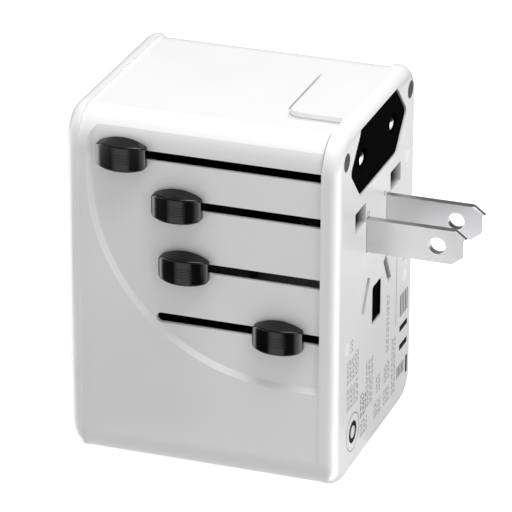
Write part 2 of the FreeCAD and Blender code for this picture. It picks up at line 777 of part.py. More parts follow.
def knob_cap(name):
    """A long cap, higher in its middle and towards its back, before its front is domed."""
    body = new_body(f"{name}_knob_cap")
    tie(body, x=f"{name}_knob_x", y="knob_back_y", z=f"{name}_slot_z")
    back = knob_outline(body, f"{name}_knob_back", "knob_back_height", "0")
    front = knob_outline(body, f"{name}_knob_face", "knob_middle_height", "knob_depth")
    loft = body.newObject("PartDesign::AdditiveLoft", f"{name}_knob_loft")
    loft.Profile = back
    loft.Sections = [front]
    doc.recompute()
    round_edges(body, "knob_corner", f"{name}_knob_ends", lambda edge: runs_along(edge, "y"))
    return body


def knob_dome(name):
    """The upright cylinder that the knob's front is trimmed to."""
    cylinder = new("Part::Cylinder", f"{name}_knob_dome")
    radius = "((knob_length / 2) ^ 2 + knob_crown ^ 2) / (2 * knob_crown)"
    tie(cylinder, Radius=radius, Height="2 * knob_back_height", x=f"{name}_knob_x",
        y=f"knob_back_y - knob_depth + {radius}", z=f"{name}_slot_z - knob_back_height")
    return cylinder


def knob_front(name):
    """The cap with its front domed and the rim of the dome softened."""
    cap = new("Part::Common", f"{name}_knob_trimmed")
    cap.Base = knob_cap(name)
    cap.Tool = knob_dome(name)
    doc.recompute()
    radius = cap.Tool.Radius.Value
    centre = cap.Tool.Placement.Base

    def on_dome(edge):
        spots = [edge.valueAt(edge.FirstParameter + part * (edge.LastParameter - edge.FirstParameter))
                 for part in (0, 0.5, 1)]
        return all(abs(math.hypot(spot.x - centre.x, spot.y - centre.y) - radius) < 1e-3
                   for spot in spots)

    softness = value("knob_softness")
    soft = new("Part::Fillet", f"{name}_knob_front")
    soft.Base = cap
    soft.Edges = [(i, softness, softness) for i, edge in enumerate(cap.Shape.Edges, start=1)
                  if on_dome(edge)]
    doc.recompute()
    return soft


def make_knob(name, foot):
    along = (f"{name}_knob_x - knob_neck_half", f"{name}_knob_x + knob_neck_half")
    level = f"{name}_slot_z"
    neck = block(f"{name}_knob_neck", along, ("knob_back_y - knob_softness", "-knob_foot_outer"),
                 (f"{level} - knob_neck_height / 2", f"{level} + knob_neck_height / 2"))
    base = block(f"{name}_knob_foot", along, ("-knob_foot_outer", "-knob_foot_inner"), foot)
    keep(fuse(f"{name}_knob", knob_front(name), neck, base), f"{name}_knob")


def fork(name, foot):
    """The end of a carriage that guides a knob's foot, which spans the two heights of foot."""
    centre = f"{name}_knob_x"
    plate = block(f"{name}_fork_plate", (f"{centre} - fork_half", f"{centre} + fork_half"),
                  FORK_PLATE, foot)
    rear = block(f"{name}_fork_rear", (f"{centre} - fork_half", f"{centre} - fork_gap_half"),
                 FORK_CHEEK, foot)
    front = block(f"{name}_fork_front", (f"{centre} + fork_gap_half", f"{centre} + fork_half"),
                  FORK_CHEEK, foot)
    return [plate, rear, front]


def coil(label, axis, start, centre, length, coil_radius, wire_radius, turns):
    """A compression spring along an axis, swept round a helix."""
    helix = Part.makeHelix((length - 2 * wire_radius) / turns, length - 2 * wire_radius,
                           coil_radius)
    circle = Part.Circle(Vector(coil_radius, 0, 0), Vector(0, 1, 0), wire_radius)
    profile = Part.Wire([circle.toShape()])
    shape = Part.Wire(helix.Edges).makePipeShell([profile], True, True)
    spring = new("Part::Feature", label)
    spring.Shape = shape
    others = [name for name in "xyz" if name != axis]
    place = {axis: start + wire_radius, others[0]: centre[0], others[1]: centre[1]}
    spring.Placement = Placement(Vector(place["x"], place["y"], place["z"]), TURN_TO[axis])
    return keep(spring, label)


def make_knob_spring(name, foot):
    """The spring between a knob's foot and its fork, clear of both by touch_gap."""
    middle = (value(foot[0]) + value(foot[1])) / 2
    start = value("touch_gap - knob_foot_inner")
    length = value("knob_foot_inner - fork_plate_outer - 2 * touch_gap")
    coil(f"{name}_knob_spring", "y", start, (value(f"{name}_knob_x"), middle), length,
         value("knob_coil_radius"), value("knob_wire_radius"), 3)


# ---- Europlug ----

def make_eu_block():
    """The six-sided block, bored for its pins, with stops that hold it in the casing."""
    body = new_body("eu_block_body")
    outline = new_sketch(body, "YZ_Plane", "eu_block_outline", "eu_block_rear")
    draw_polygon(outline, hexagon("slide_gap"))
    pad(body, outline, f"({FRONT}) - eu_block_inset - eu_block_rear", "eu_block_pad")
    round_edges(body, "eu_block_corner", "eu_block_corners", lambda edge: runs_along(edge, "x"))
    front = value(f"{FRONT} - eu_block_inset")
    round_edges(body, "eu_block_softness", "eu_block_front_edge",
                lambda edge: lies_at(edge, "x", front))
    bores = new_sketch(body, "YZ_Plane", "eu_pin_bores", front)
    for side in (-1, 1):
        draw_circle(bores, (f"{side} * eu_pin_spread / 2", "eu_centre_z"),
                    "eu_pin_radius + pin_opening_gap")
    pocket(body, bores, f"({FRONT}) - eu_block_rear", "eu_pin_bores_cut")
    stops = []
    for side in (-1, 1):
        inner = f"{side} * (eu_tip_half + slide_gap - eu_stop_width)"
        outer = f"{side} * (eu_tip_half + slide_gap)"
        stops.append(block(f"eu_block_stop_{side}",
                           ("eu_block_rear", "eu_block_rear + eu_stop_length"),
                           (inner, outer) if side > 0 else (outer, inner),
                           ("eu_outline_z - eu_stop_drop", "eu_outline_z + eu_stop_rise")))
    keep(fuse("eu_plug_block_with_stops", body, *stops), "eu_plug_block")


def make_eu_carriage():
    foot = ("62.3", "65.4")
    front = "eu_block_rear - eu_pin_travel - slide_gap"
    plate = block("eu_carriage_plate", ("eu_carriage_rear", front), ("-12.6", "12.6"),
                  ("61.2", "68.8"))
    arm = block("eu_carriage_arm", ("eu_knob_x - fork_half", "eu_knob_x + fork_half"),
                ("-fork_plate_inner - 0.1", "-12.5"), foot)
    solid = fuse("eu_carriage_solid", plate, arm, *fork("eu", foot))
    roots = [rod(f"eu_pin_root_{side}", "x", f"{front} - eu_root_length",
                 (f"{side} * eu_pin_spread / 2", "eu_centre_z"), "eu_root_length",
                 "eu_pin_radius") for side in (-1, 1)]
    keep(cut("eu_carriage", solid, *roots), "eu_carriage")
    make_knob("eu", foot)
    make_knob_spring("eu", foot)
    make_eu_pins(front)


def make_eu_pins(front):
    """Each pin has a chromed tip, domed at its end, and an insulating sleeve behind it."""
    tip = f"{FRONT} - eu_tip_inset"
    rear = f"{front} - eu_root_length"
    covered = f"({tip}) - ({rear}) - eu_bare_length"
    dome = "eu_pin_radius * 1.3"
    room = "eu_pin_radius * 1.5"
    pins = []
    sleeves = []
    for side in (-1, 1):
        centre = (f"{side} * eu_pin_spread / 2", "eu_centre_z")
        core = rod(f"eu_pin_core_{side}", "x", rear, centre, covered, "eu_core_radius")
        end = rod(f"eu_pin_end_{side}", "x", f"{tip} - eu_bare_length", centre, "eu_bare_length",
                  "eu_pin_radius")
        ball = new("Part::Sphere", f"eu_pin_ball_{side}")
        tie(ball, Radius=dome, x=f"{tip} - {dome}", y=centre[0], z=centre[1])
        shaft_room = block(f"eu_pin_shaft_room_{side}", (f"{rear} - 1", f"{tip} - {dome} / 2"),
                           (f"{centre[0]} - {room}", f"{centre[0]} + {room}"),
                           (f"eu_centre_z - {room}", f"eu_centre_z + {room}"))
        domed = new("Part::Common", f"eu_pin_domed_{side}")
        domed.Base = fuse(f"eu_pin_solid_{side}", core, end)
        domed.Tool = fuse(f"eu_pin_room_{side}", ball, shaft_room)
        pins.append(domed)
        tube = rod(f"eu_sleeve_tube_{side}", "x", rear, centre, covered, "eu_pin_radius")
        hole = rod(f"eu_sleeve_hole_{side}", "x", rear, centre, covered, "eu_core_radius")
        sleeves.append(cut(f"eu_sleeve_{side}", tube, hole))
    keep(group("eu_pins", *pins), "eu_pins")
    keep(group("eu_pin_sleeves", *sleeves), "eu_pin_sleeves")


# ---- UK plug ----

def make_uk_carriage():
    """One carriage for the three pins. The earth pin reaches further forward than the others."""
    foot = ("55.0", "58.0")
    front = f"{PLATE_BACK} - slide_gap / 2 - uk_travel"
    earth_low = "26.8"
    bar = block("uk_bar", ("-2", front), ("-fork_plate_inner", "15.5"), ("52", "58"))
    arm = block("uk_arm", ("uk_knob_x - fork_half", "0"), ("-16.6", "-14"), foot)
    behind_guide = ("1", f"{front} - guide_flange - slide_gap")
    column = block("uk_column", behind_guide, ("12", "15.5"), (earth_low, "53"))
    low_arm = block("uk_low_arm", behind_guide, ("-2.6", "15.5"), (earth_low, "30.8"))
    holder = block("uk_earth_holder", behind_guide, ("-2.6", "2.6"), (earth_low, "35.3"))
    solid = fuse("uk_carriage_solid", bar, arm, column, low_arm, holder, *fork("uk", foot))
    rear = f"{front} - 4"
    tip = f"{FRONT} - pin_recess"
    pins, sleeves, seats = [], [], []
    for side in (-1, 1):
        pin, sleeve, seat = uk_line_pin(side, rear, front, tip)
        pins.append(pin)
        sleeves.append(sleeve)
        seats.append(seat)
    wide = ("-uk_earth_width / 2", "uk_earth_width / 2")
    high = ("uk_earth_z - uk_earth_height / 2", "uk_earth_z + uk_earth_height / 2")
    seats.append(block("uk_earth_seat", (rear, front), wide, high))
    earth_tip = f"{FRONT} - uk_earth_inset"
    earth_bar = block("uk_earth_bar", (rear, earth_tip), wide, high)
    keep(cut("uk_carriage", solid, *seats), "uk_carriage")
    keep(group("uk_line_pins", *pins), "uk_line_pins")
    keep(group("uk_pin_sleeves", *sleeves), "uk_pin_sleeves")
    keep(bevel_tip("uk_earth_tip", earth_bar, earth_tip, "earth_pin_bevel"), "uk_earth_pin")
    make_knob("uk", foot)
    make_knob_spring("uk", foot)


def uk_line_pin(side, rear, front, tip):
    """A flat pin with a bare tip, the sleeve round its thinner rear, and the seat that holds it."""
    middle = f"{side} * uk_line_spread / 2"
    wide = (f"{middle} - uk_line_width / 2", f"{middle} + uk_line_width / 2")
    high = ("uk_line_z - uk_line_height / 2", "uk_line_z + uk_line_height / 2")
    thin_wide = (f"{wide[0]} + uk_sleeve_wall", f"{wide[1]} - uk_sleeve_wall")
    thin_high = (f"{high[0]} + uk_sleeve_wall", f"{high[1]} - uk_sleeve_wall")
    bare = f"{tip} - uk_bare_length"
    seat = block(f"uk_seat_{side}", (rear, front), wide, high)
    core = block(f"uk_core_{side}", (rear, f"{bare} + 0.5"), thin_wide, thin_high)
    end = block(f"uk_end_{side}", (bare, tip), wide, high)
    pin = fuse(f"uk_pin_{side}", core, bevel_tip(f"uk_tip_{side}", end, tip, "pin_bevel"))
    skin = block(f"uk_skin_{side}", (rear, bare), wide, high)
    hole = block(f"uk_skin_hole_{side}", (rear, bare), thin_wide, thin_high)
    return pin, cut(f"uk_sleeve_{side}", skin, hole), seat


def make_earth_guide():
    """The black lining of the earth pin's opening: a cheek each side, and a flange behind."""
    high = ("uk_earth_z - uk_earth_height / 2", "uk_earth_z + uk_earth_height / 2")
    flange = block("guide_flange", (f"{PLATE_BACK} - guide_flange", f"{PLATE_BACK} - touch_gap"),
                   ("-earth_opening_width / 2 - guide_rim", "earth_opening_width / 2 + guide_rim"),
                   (f"{high[0]} - guide_rim", f"{high[1]} + guide_rim"))
    room = block("guide_room", (f"{PLATE_BACK} - guide_flange", FRONT),
                 ("-uk_earth_width / 2 - touch_gap", "uk_earth_width / 2 + touch_gap"),
                 (f"{high[0]} - touch_gap", f"{high[1]} + touch_gap"))
    corner = "(earth_opening_corner * 0.6)"
    cheeks = []
    for side in (-1, 1):
        inner = f"{side} * (uk_earth_width / 2 + touch_gap)"
        outer = f"{side} * (earth_opening_width / 2 - touch_gap)"
        cheeks.append(block(f"guide_cheek_{side}",
                            (f"{PLATE_BACK} - guide_flange", f"{FRONT} - touch_gap"),
                            (inner, outer) if side > 0 else (outer, inner),
                            (f"{high[0]} + {corner}", f"{high[1]} - {corner}")))
    keep(cut("earth_pin_guide", fuse("earth_pin_guide_solid", flange, *cheeks), room),
         "earth_pin_guide")


def bevel_tip(label, solid, tip, size):
    """Bevel the four edges at the front end of a pin."""
    doc.recompute()
    place = value(tip)
    width = value(size)
    bevel = new("Part::Chamfer", label)
    bevel.Base = solid
    bevel.Edges = [(i, width, width) for i, edge in enumerate(solid.Shape.Edges, start=1)
                   if lies_at(edge, "x", place)]
    doc.recompute()
    return bevel


# ---- US plug ----

def make_us_carriage():
    foot = ("31.0", "34.0")
    front = f"{PLATE_BACK} - slide_gap"
    rear = f"{front} - us_bridge_length"
    seat_rear = f"{rear} + 2"
    bridge = block("us_bridge", (rear, front), ("-7.7", "7.7"), ("44.3", "51.6"))
    near = (f"{front} - 3.4", f"{front} - slide_gap")
    arm = block("us_arm", near, ("-14.8", "-7.5"), ("45", "50.8"))
    link = block("us_link", near, ("-14.8", "-12.6"), (foot[0], "50.8"))
    bar = block("us_bar", ("us_knob_x - fork_half", near[1]), ("-16.5", "-12.6"), foot)
    solid = fuse("us_carriage_solid", bridge, arm, link, bar, *fork("us", foot))
    blades = []
    seats = []
    for side in (-1, 1):
        middle = f"{side} * us_spread / 2"
        thin = (f"{middle} - blade_thickness / 2", f"{middle} + blade_thickness / 2")
        high = ("us_centre_z - us_blade_height / 2", "us_centre_z + us_blade_height / 2")
        seats.append(block(f"us_seat_{side}", (seat_rear, front), thin, high))
        blades.append(make_us_blade(side, seat_rear))
    keep(cut("us_carriage", solid, *seats), "us_carriage")
    keep(group("us_blades", *blades), "us_blades")
    make_knob("us", foot)
    make_knob_spring("us", foot)


def make_us_blade(side, rear):
    """A flat blade with cut tip corners, bevelled round its tip, and a hole near its end."""
    label = f"us_blade_{'left' if side < 0 else 'right'}"
    body = new_body(label)
    centre = f"{side} * us_spread / 2"
    near_side = f"-({centre}) - blade_thickness / 2"
    sketch = new_sketch(body, "XZ_Plane", label + "_outline", near_side)
    tip = f"{FRONT} + us_protrusion"
    low = "us_centre_z - us_blade_height / 2"
    high = "us_centre_z + us_blade_height / 2"
    draw_polygon(sketch, [
        (rear, low), (f"{tip} - us_tip_length", low), (tip, f"{low} + us_tip_cut"),
        (tip, f"{high} - us_tip_cut"), (f"{tip} - us_tip_length", high), (rear, high)])
    pad(body, sketch, "blade_thickness", label + "_pad")
    hole = new_sketch(body, "XZ_Plane", label + "_hole", near_side)
    draw_circle(hole, (f"{tip} - us_hole_from_tip", "us_centre_z"), "us_hole_radius")
    pocket(body, hole, "blade_thickness", label + "_hole_cut", True)
    faces = [value(f"{centre} - blade_thickness / 2"), value(f"{centre} + blade_thickness / 2")]
    tip_start = value(f"{tip} - us_tip_length")
    bevel_edges(body, "us_tip_bevel", label + "_tip_bevel",
                lambda edge: edge.Curve.TypeId == "Part::GeomLine"
                and edge.BoundBox.XMin > tip_start - 0.01
                and any(lies_at(edge, "y", place) for place in faces))
    return body


# ---- AU plug ----

def make_au_carriage():
    """The carriage passes inside the US plug's, so its arm goes round behind that one."""
    foot = ("42.4", "45.4")
    front = f"{PLATE_BACK} - slide_gap - au_travel"
    turn = ("-20.6", "-18.4")
    inner_y = ("-12", "-10.2")
    outer_y = ("-fork_plate_outer", "-15.4")
    bridge = block("au_bridge", ("0", front), ("-12", "10"), ("36", "42"))
    holders = [block(f"au_holder_{side}", ("0", front),
                     (f"{side} * 7 - 2.9", f"{side} * 7 + 2.9"), ("31.3", "36.5"))
               for side in (-1, 1)]
    inner = block("au_inner_arm", (turn[0], "1"), inner_y, ("38", "42"))
    cross = block("au_cross", turn, (outer_y[0], inner_y[1]), ("38", foot[1]))
    outer = block("au_outer_arm", (turn[0], "au_knob_x - 3"), outer_y, foot)
    solid = fuse("au_carriage_solid", bridge, inner, cross, outer, *holders, *fork("au", foot))
    rear = f"{front} - 4"
    blades = [au_blade(side, rear, f"{FRONT} - pin_recess", "blade") for side in (-1, 1)]
    seats = [au_blade(side, rear, front, "seat") for side in (-1, 1)]
    keep(cut("au_carriage", solid, *seats), "au_carriage")
    keep(group("au_blades", *blades), "au_blades")
    make_knob("au", foot)
    make_knob_spring("au", foot)


def au_blade(side, rear, tip, kind):
    """A flat blade, turned about X so that its top leans to the middle."""
    blade = new("Part::Box", f"au_{kind}_{side}")
    tie(blade, Length=f"({tip}) - ({rear})", Width="blade_thickness", Height="au_blade_width")
    lean = f"{side} * au_tilt"
    blade.Placement = Placement(Vector(), Rotation(Vector(side, 0, 0), value("au_tilt")))
    blade.setExpression(".Placement.Rotation.Angle", linked("au_tilt"))
    half_thin = "blade_thickness / 2"
    half_wide = "au_blade_width / 2"
    tie(blade, x=rear,
        y=f"{side} * au_spread / 2 - {half_thin} * cos({lean}) + {half_wide} * sin({lean})",
        z=f"au_centre_z - {half_thin} * sin({lean}) - {half_wide} * cos({lean})")
    return blade


# ---- socket side ----

def make_contacts():
    """Live contacts are leaf pairs open to the rear. Bus bars run forward along the shelf."""
    rear = f"{REAR} + well_depth + 2.1"
    back = "-9.4"
    leaf_low = "socket_line_z - 2.15"
    leaf_high = "socket_line_z + 2.15"
    bar = ("shelf_low + shelf_thickness + 0.1", "shelf_low + shelf_thickness + 0.1 + bus_bar")
    for side, name in ((-1, "neutral"), (1, "line")):
        wide = (f"{side} * 9.2 - 4.2", f"{side} * 9.2 + 4.2")
        upper = block(f"{name}_upper_leaf", (rear, back), wide,
                      (leaf_high, f"{leaf_high} + contact_sheet"))
        lower = block(f"{name}_lower_leaf", (rear, back), wide,
                      (f"{leaf_low} - contact_sheet", leaf_low))
        base = block(f"{name}_contact_base", (f"{back} - contact_sheet", back), wide,
                     (bar[1], f"{leaf_high} + contact_sheet"))
        keep(fuse(f"{name}_socket_contact", upper, lower, base), f"{name}_socket_contact")
        keep(block(f"{name}_bus_bar", ("-12", "22"), (f"{side} * 9 - 3", f"{side} * 9 + 3"), bar),
             f"{name}_bus_bar")
    earth_z = "socket_line_z + socket_rise"
    high = (f"{earth_z} - 4", f"{earth_z} + 4")
    leaf = "2.2"
    left = block("earth_left_leaf", (rear, "-10"), (f"-{leaf} - contact_sheet", f"-{leaf}"), high)
    right = block("earth_right_leaf", (rear, "-10"), (leaf, f"{leaf} + contact_sheet"), high)
    web = block("earth_contact_back", ("-10 - contact_sheet", "-10"),
                (f"-{leaf} - contact_sheet", f"{leaf} + contact_sheet"), high)
    keep(fuse("earth_socket_contact", left, right, web), "earth_socket_contact")


def make_shutter():
    """A plate behind the live openings, held down over them by a spring."""
    low = "socket_line_z - 2.9"
    high = "socket_line_z + 4.5"
    rear = f"{REAR} + well_depth + slide_gap"
    plate = block("shutter_plate", (rear, f"{rear} + 1"), ("-13.9", "13.9"), (low, high))
    foot = block("shutter_spring_foot", (f"{REAR_PLATE_FRONT} + slide_gap", f"{rear} + 0.1"),
                 ("-1.9", "1.9"), (f"{high} - 1.2", high))
    keep(fuse("safety_shutter", plate, foot), "safety_shutter")
    start = value(f"{high} + touch_gap")
    top = value("socket_line_z + socket_rise - 5.4 - touch_gap")
    middle = (value(f"{REAR_PLATE_FRONT} + 1.6"), 0.0)
    coil("shutter_spring", "z", start, middle, top - start, value("shutter_coil_radius"),
         value("shutter_wire_radius"), 7)


def make_fuse():
    """A cartridge fuse on its clips, behind a round cap that turns a quarter to come out."""
    start = f"{REAR} + fuse_inset"
    centre = ("fuse_y", "fuse_z")
    ends = [rod("fuse_rear_end", "x", start, centre, "fuse_end_length", "fuse_radius"),
            rod("fuse_front_end", "x", f"{start} + fuse_length - fuse_end_length", centre,
                "fuse_end_length", "fuse_radius"),
            rod("fuse_barrel", "x", f"{start} + fuse_end_length - 0.1", centre,
                "fuse_length - 2 * fuse_end_length + 0.2", "fuse_radius - 0.25")]
    keep(fuse("cartridge_fuse", *ends), "cartridge_fuse")
    clips = []
    shelf_top = "shelf_low + shelf_thickness"
    for name, place in (("rear", f"{start} + 1.5"),
                        ("front", f"{start} + fuse_length - fuse_clip_length - 1.5")):
        span = (place, f"{place} + fuse_clip_length")
        cradle = block(f"{name}_clip_cradle", span, ("fuse_y - 3.7", "fuse_y + 3.6"),
                       ("fuse_z - 3.8", "fuse_z + 1"))
        leg = block(f"{name}_clip_leg", span, ("fuse_y - 0.4", "fuse_y + 0.4"),
                    (shelf_top, "fuse_z - 3.5"))
        room = rod(f"{name}_clip_room", "x", place, centre, "fuse_clip_length",
                   "fuse_radius + 0.02")
        clips.append(cut(f"{name}_clip", fuse(f"{name}_clip_solid", cradle, leg), room))
    keep(group("fuse_clips", *clips), "fuse_clips")
    rear = f"{REAR} + touch_gap"
    disc = rod("fuse_cap_disc", "x", rear, centre, "plate_thickness + 0.5", "fuse_cap_radius")
    nose = rod("fuse_cap_nose", "x", f"{REAR} + 2", centre, "1.6", "fuse_cap_radius - 1")
    groove = block("fuse_cap_groove", (REAR, f"{REAR} + 0.8"),
                   ("fuse_y - fuse_cap_radius + 0.8", "fuse_y + fuse_cap_radius - 0.8"),
                   ("fuse_z - 0.6", "fuse_z + 0.6"))
    keep(cut("fuse_cap", fuse("fuse_cap_solid", disc, nose), groove), "fuse_cap")


def make_charger():
    """The USB charger under the shelf."""
    shelf = block("shelf_plate", (f"{REAR_SEAM} + slide_gap", f"{FRONT_SEAM} - slide_gap"),
                  (f"-({INNER_HALF}) + 0.15", f"{INNER_HALF} - 0.15"),
                  ("shelf_low", "shelf_low + shelf_thickness"))
    keep(shelf, "inner_shelf")
    top = "board_z + board_thickness"
    keep(block("usb_board", (f"{REAR} + 3.2", "14"), ("-18.5", "18.5"), ("board_z", top)),
         "usb_board")
    make_usb_ports(top)
    make_transformer(top)
    cans = [rod(f"capacitor_{i}", "z", top, place, "12", "3.1")
            for i, place in enumerate((("9.8", "-12"), ("9.8", "12"), ("1", "-13.5")))]
    keep(group("capacitors", *cans), "capacitors")
    keep(rod("power_light", "x", f"{REAR} + 0.1", ("0", "light_z"), "plate_thickness + 0.8",
             "light_radius"), "power_light")


def make_usb_ports(base):
    """Two sheet-metal port shells, each with its contact tongue."""
    shells = []
    tongues = []
    rear = f"{REAR} + 0.4"
    sheet_back = "port_back - port_sheet - 0.1"
    for side in (-1, 1):
        middle = f"{side} * port_half_spread"
        outer = block(f"port_outer_{side}", (rear, "port_back"),
                      (f"{middle} - port_half", f"{middle} + port_half"),
                      (base, f"{base} + port_height"))
        inner = block(f"port_inner_{side}", (rear, sheet_back),
                      (f"{middle} - port_half + port_sheet", f"{middle} + port_half - port_sheet"),
                      (f"{base} + port_sheet", f"{base} + port_height - port_sheet"))
        shells.append(cut(f"port_shell_{side}", outer, inner))
        root = block(f"port_root_{side}", ("port_back - 3", sheet_back),
                     (f"{middle} - 6.2", f"{middle} + 6.2"),
                     (f"{base} + port_sheet + touch_gap",
                      f"{base} + port_height - port_sheet - touch_gap"))
        leaf = block(f"port_leaf_{side}", (f"{rear} + 1.2", "port_back - 2.5"),
                     (f"{middle} - 5.6", f"{middle} + 5.6"), (f"{base} + 2.9", f"{base} + 4.8"))
        tongues.append(fuse(f"port_tongue_{side}", root, leaf))
    keep(group("usb_port_shells", *shells), "usb_port_shells")
    keep(group("usb_port_tongues", *tongues), "usb_port_tongues")


def make_transformer(base):
    """A square core standing on the board, with its winding in the window."""
    along = ("core_rear", "core_front")
    wide = ("-7", "7")
    top = f"{base} + core_height"
    low = block("core_low", along, wide, (base, f"{base} + core_bar"))
    high = block("core_high", along, wide, (f"{top} - core_bar", top))
    rear = block("core_rear_leg", ("core_rear", "core_rear + core_leg"), wide, (base, top))
    front = block("core_front_leg", ("core_front - core_leg", "core_front"), wide, (base, top))
    keep(fuse("transformer_core", low, high, rear, front), "transformer_core")
    keep(rod("transformer_winding", "z", f"{base} + core_bar + touch_gap",
             ("(core_rear + core_front) / 2", "0"), "core_height - 2 * core_bar - 2 * touch_gap",
             "4.3"), "transformer_winding")


def check_document():
    """Stop if any object failed or any sub-part has no sound shape."""
    doc.recompute()
    for thing in doc.Objects:
        if "Invalid" in thing.State or "Error" in thing.State:
            raise RuntimeError(f"{thing.Label} failed: {thing.State}")
    for part in sub_parts:
        if part.Shape.isNull() or not part.Shape.isValid() or not part.Shape.Solids:
            raise RuntimeError(f"{part.Label} has no valid solid")


def write_parts():
    os.makedirs(PARTS_FOLDER, exist_ok=True)
    for part in sub_parts:
        part.Shape.exportStep(os.path.join(PARTS_FOLDER, part.Label + ".step"))
        print(f"{part.Label:24s} {len(part.Shape.Solids)} solids {part.Shape.Volume:10.1f} mm3")


fill_sheet()
make_front_cap()
make_sleeve()
make_rear_cap()
make_screws()
make_eu_block()
make_eu_carriage()
make_uk_carriage()
make_earth_guide()
make_au_carriage()
make_us_carriage()
make_contacts()
make_shutter()
make_fuse()
make_charger()
check_document()
write_parts()
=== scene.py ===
import json
import math
import random

import bpy
from mathutils import Matrix, Vector


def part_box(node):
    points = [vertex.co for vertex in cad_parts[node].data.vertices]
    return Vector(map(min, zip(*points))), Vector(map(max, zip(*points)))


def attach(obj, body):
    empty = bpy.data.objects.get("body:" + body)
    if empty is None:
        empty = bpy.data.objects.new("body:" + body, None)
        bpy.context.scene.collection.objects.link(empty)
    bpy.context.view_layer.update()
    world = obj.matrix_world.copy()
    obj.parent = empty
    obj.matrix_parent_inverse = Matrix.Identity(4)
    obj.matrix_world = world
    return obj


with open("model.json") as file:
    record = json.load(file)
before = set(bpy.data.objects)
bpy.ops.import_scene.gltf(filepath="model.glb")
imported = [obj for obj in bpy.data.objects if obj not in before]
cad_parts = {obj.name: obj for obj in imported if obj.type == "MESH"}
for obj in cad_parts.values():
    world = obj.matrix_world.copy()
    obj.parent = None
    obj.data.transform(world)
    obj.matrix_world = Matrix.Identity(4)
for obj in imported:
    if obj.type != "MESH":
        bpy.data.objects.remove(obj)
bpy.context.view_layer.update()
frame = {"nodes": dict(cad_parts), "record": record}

MM = 0.001

# Surface finishes. A grain's depth is in metres.
FLOW_SCALE = 60.0
GRAIN_SCALE = 2500.0
GRAIN_DEPTH = 4e-6
DRAWN_STRETCH = (20, 400, 400)
DRAWN_SCALE = 8.0
DRAWN_DEPTH = 1e-6
DRAWN_UNEVEN = 0.1
TARNISH_SCALE = 90.0
TARNISH = 0.03

# The casing's hollow, a round-cornered tunnel along X. Its inner faces carry painted shade: their
# colour turns from the shell's own to near black between the two mouth distances from the middle.
HOLLOW_HALF = 22.95 * MM
HOLLOW_LOW = 1.85 * MM
HOLLOW_HIGH = 71.7 * MM
HOLLOW_CORNER = 4.9 * MM
MOUTH_LIGHT = 27.78 * MM
MOUTH_DARK = 25.9 * MM

# Lines and soft edges of the front cap and its tongue. The turns are in degrees.
CAP_CORNER = 6.8 * MM
SEAM_STEPS = 24
SEAM_FROM = 6
SEAM_TO = 86
SEAM_WIDE = 0.16 * MM
SEAM_OUT = 0.015 * MM
SEAM_SUNK = 0.01 * MM
SEAM_THIN_END = 0.1
SEAM_LOW_TAPER = 8
SEAM_HIGH_TAPER = 4
TONGUE_LONG = 11.4 * MM
TONGUE_HALF = 12.6 * MM
TONGUE_CORNER = 3.0 * MM
TONGUE_STEPS = 12
TONGUE_TURN_FROM = 25
TONGUE_TURN_TO = 90
TONGUE_THIN_END = 0.25
TONGUE_TAPER = 6
TONGUE_END_GAP = 0.2 * MM
TAPERED_FROM = 0.5  # a reach, in plain millimetres

# Grip ribs on the knobs' round faces.
DOME_RADIUS = 7.66 * MM
RIB_STEPS = 16
RIB_HALF = 2.6 * MM
RIB_PITCH = 0.55 * MM
RIB_WIDE = 0.24 * MM
RIB_LIFT = 0.1 * MM
RIB_FLATNESS = 6
RIB_SUNK = 0.2
RIB_LEVELS = (-1.5, -0.5, 0.5, 1.5)

# Print on the plug face. All but its thickness is in plain millimetres.
PRINT_THICK = 0.015 * MM
DASH_WIDE = 0.28
DASH_SHORT = 0.5
DASH_LONG = 1.3
DASH_GAP = 0.35
DASH_PITCH = 0.95
RING_SIDES = 48
RING_PLACE = (-14.0, 9.0)

# Floor, cards and light.
FLOOR_HALF = 3.0
BOUNCE_DROP = 0.0002
BOUNCE_GLOW = 0.50
WORLD_LIGHT = 0.50
CARD_HEIGHT = 0.05 * MM
CARD_GAP = 0.03 * MM
CARD_STEPS = 16
CARD_INNER = 0.1 * MM
FLAT_TOP = 2.2
KNOB_CARD_HALF = 26 * MM
EDGE_CORNER = 2 * MM


# ---- materials ----

def node_material(name):
    """A new material, its node tree and its shader."""
    material = bpy.data.materials.new(name)
    material.use_nodes = True
    tree = material.node_tree
    return material, tree, tree.nodes["Principled BSDF"]


def add_node(tree, kind, **settings):
    """A node. Each setting is a property of it or, with spaces for underscores, an input."""
    node = tree.nodes.new(kind)
    for key, value in settings.items():
        if hasattr(node, key):
            setattr(node, key, value)
        else:
            node.inputs[key.replace("_", " ")].default_value = value
    return node


def object_places(tree, stretch=(1, 1, 1)):
    """Object coordinates, stretched for a grain that runs one way."""
    places = add_node(tree, "ShaderNodeTexCoord")
    mapping = add_node(tree, "ShaderNodeMapping")
    mapping.inputs["Scale"].default_value = stretch
    tree.links.new(places.outputs["Object"], mapping.inputs["Vector"])
    return mapping.outputs["Vector"]


def noise(tree, vector, scale, detail=3.0):
    """A noise between 0 and 1, mostly near 0.5."""
    node = add_node(tree, "ShaderNodeTexNoise", Scale=scale, Detail=detail)
    tree.links.new(vector, node.inputs["Vector"])
    return node.outputs["Fac"]


def colour_spread(tree, factor, low, high):
    """A colour between two shades, set by a noise."""
    ramp = add_node(tree, "ShaderNodeValToRGB")
    ramp.color_ramp.elements[0].position = 0.35
    ramp.color_ramp.elements[1].position = 0.65
    ramp.color_ramp.elements[0].color = (*low, 1)
    ramp.color_ramp.elements[1].color = (*high, 1)
    tree.links.new(factor, ramp.inputs["Fac"])
    return ramp.outputs["Color"]


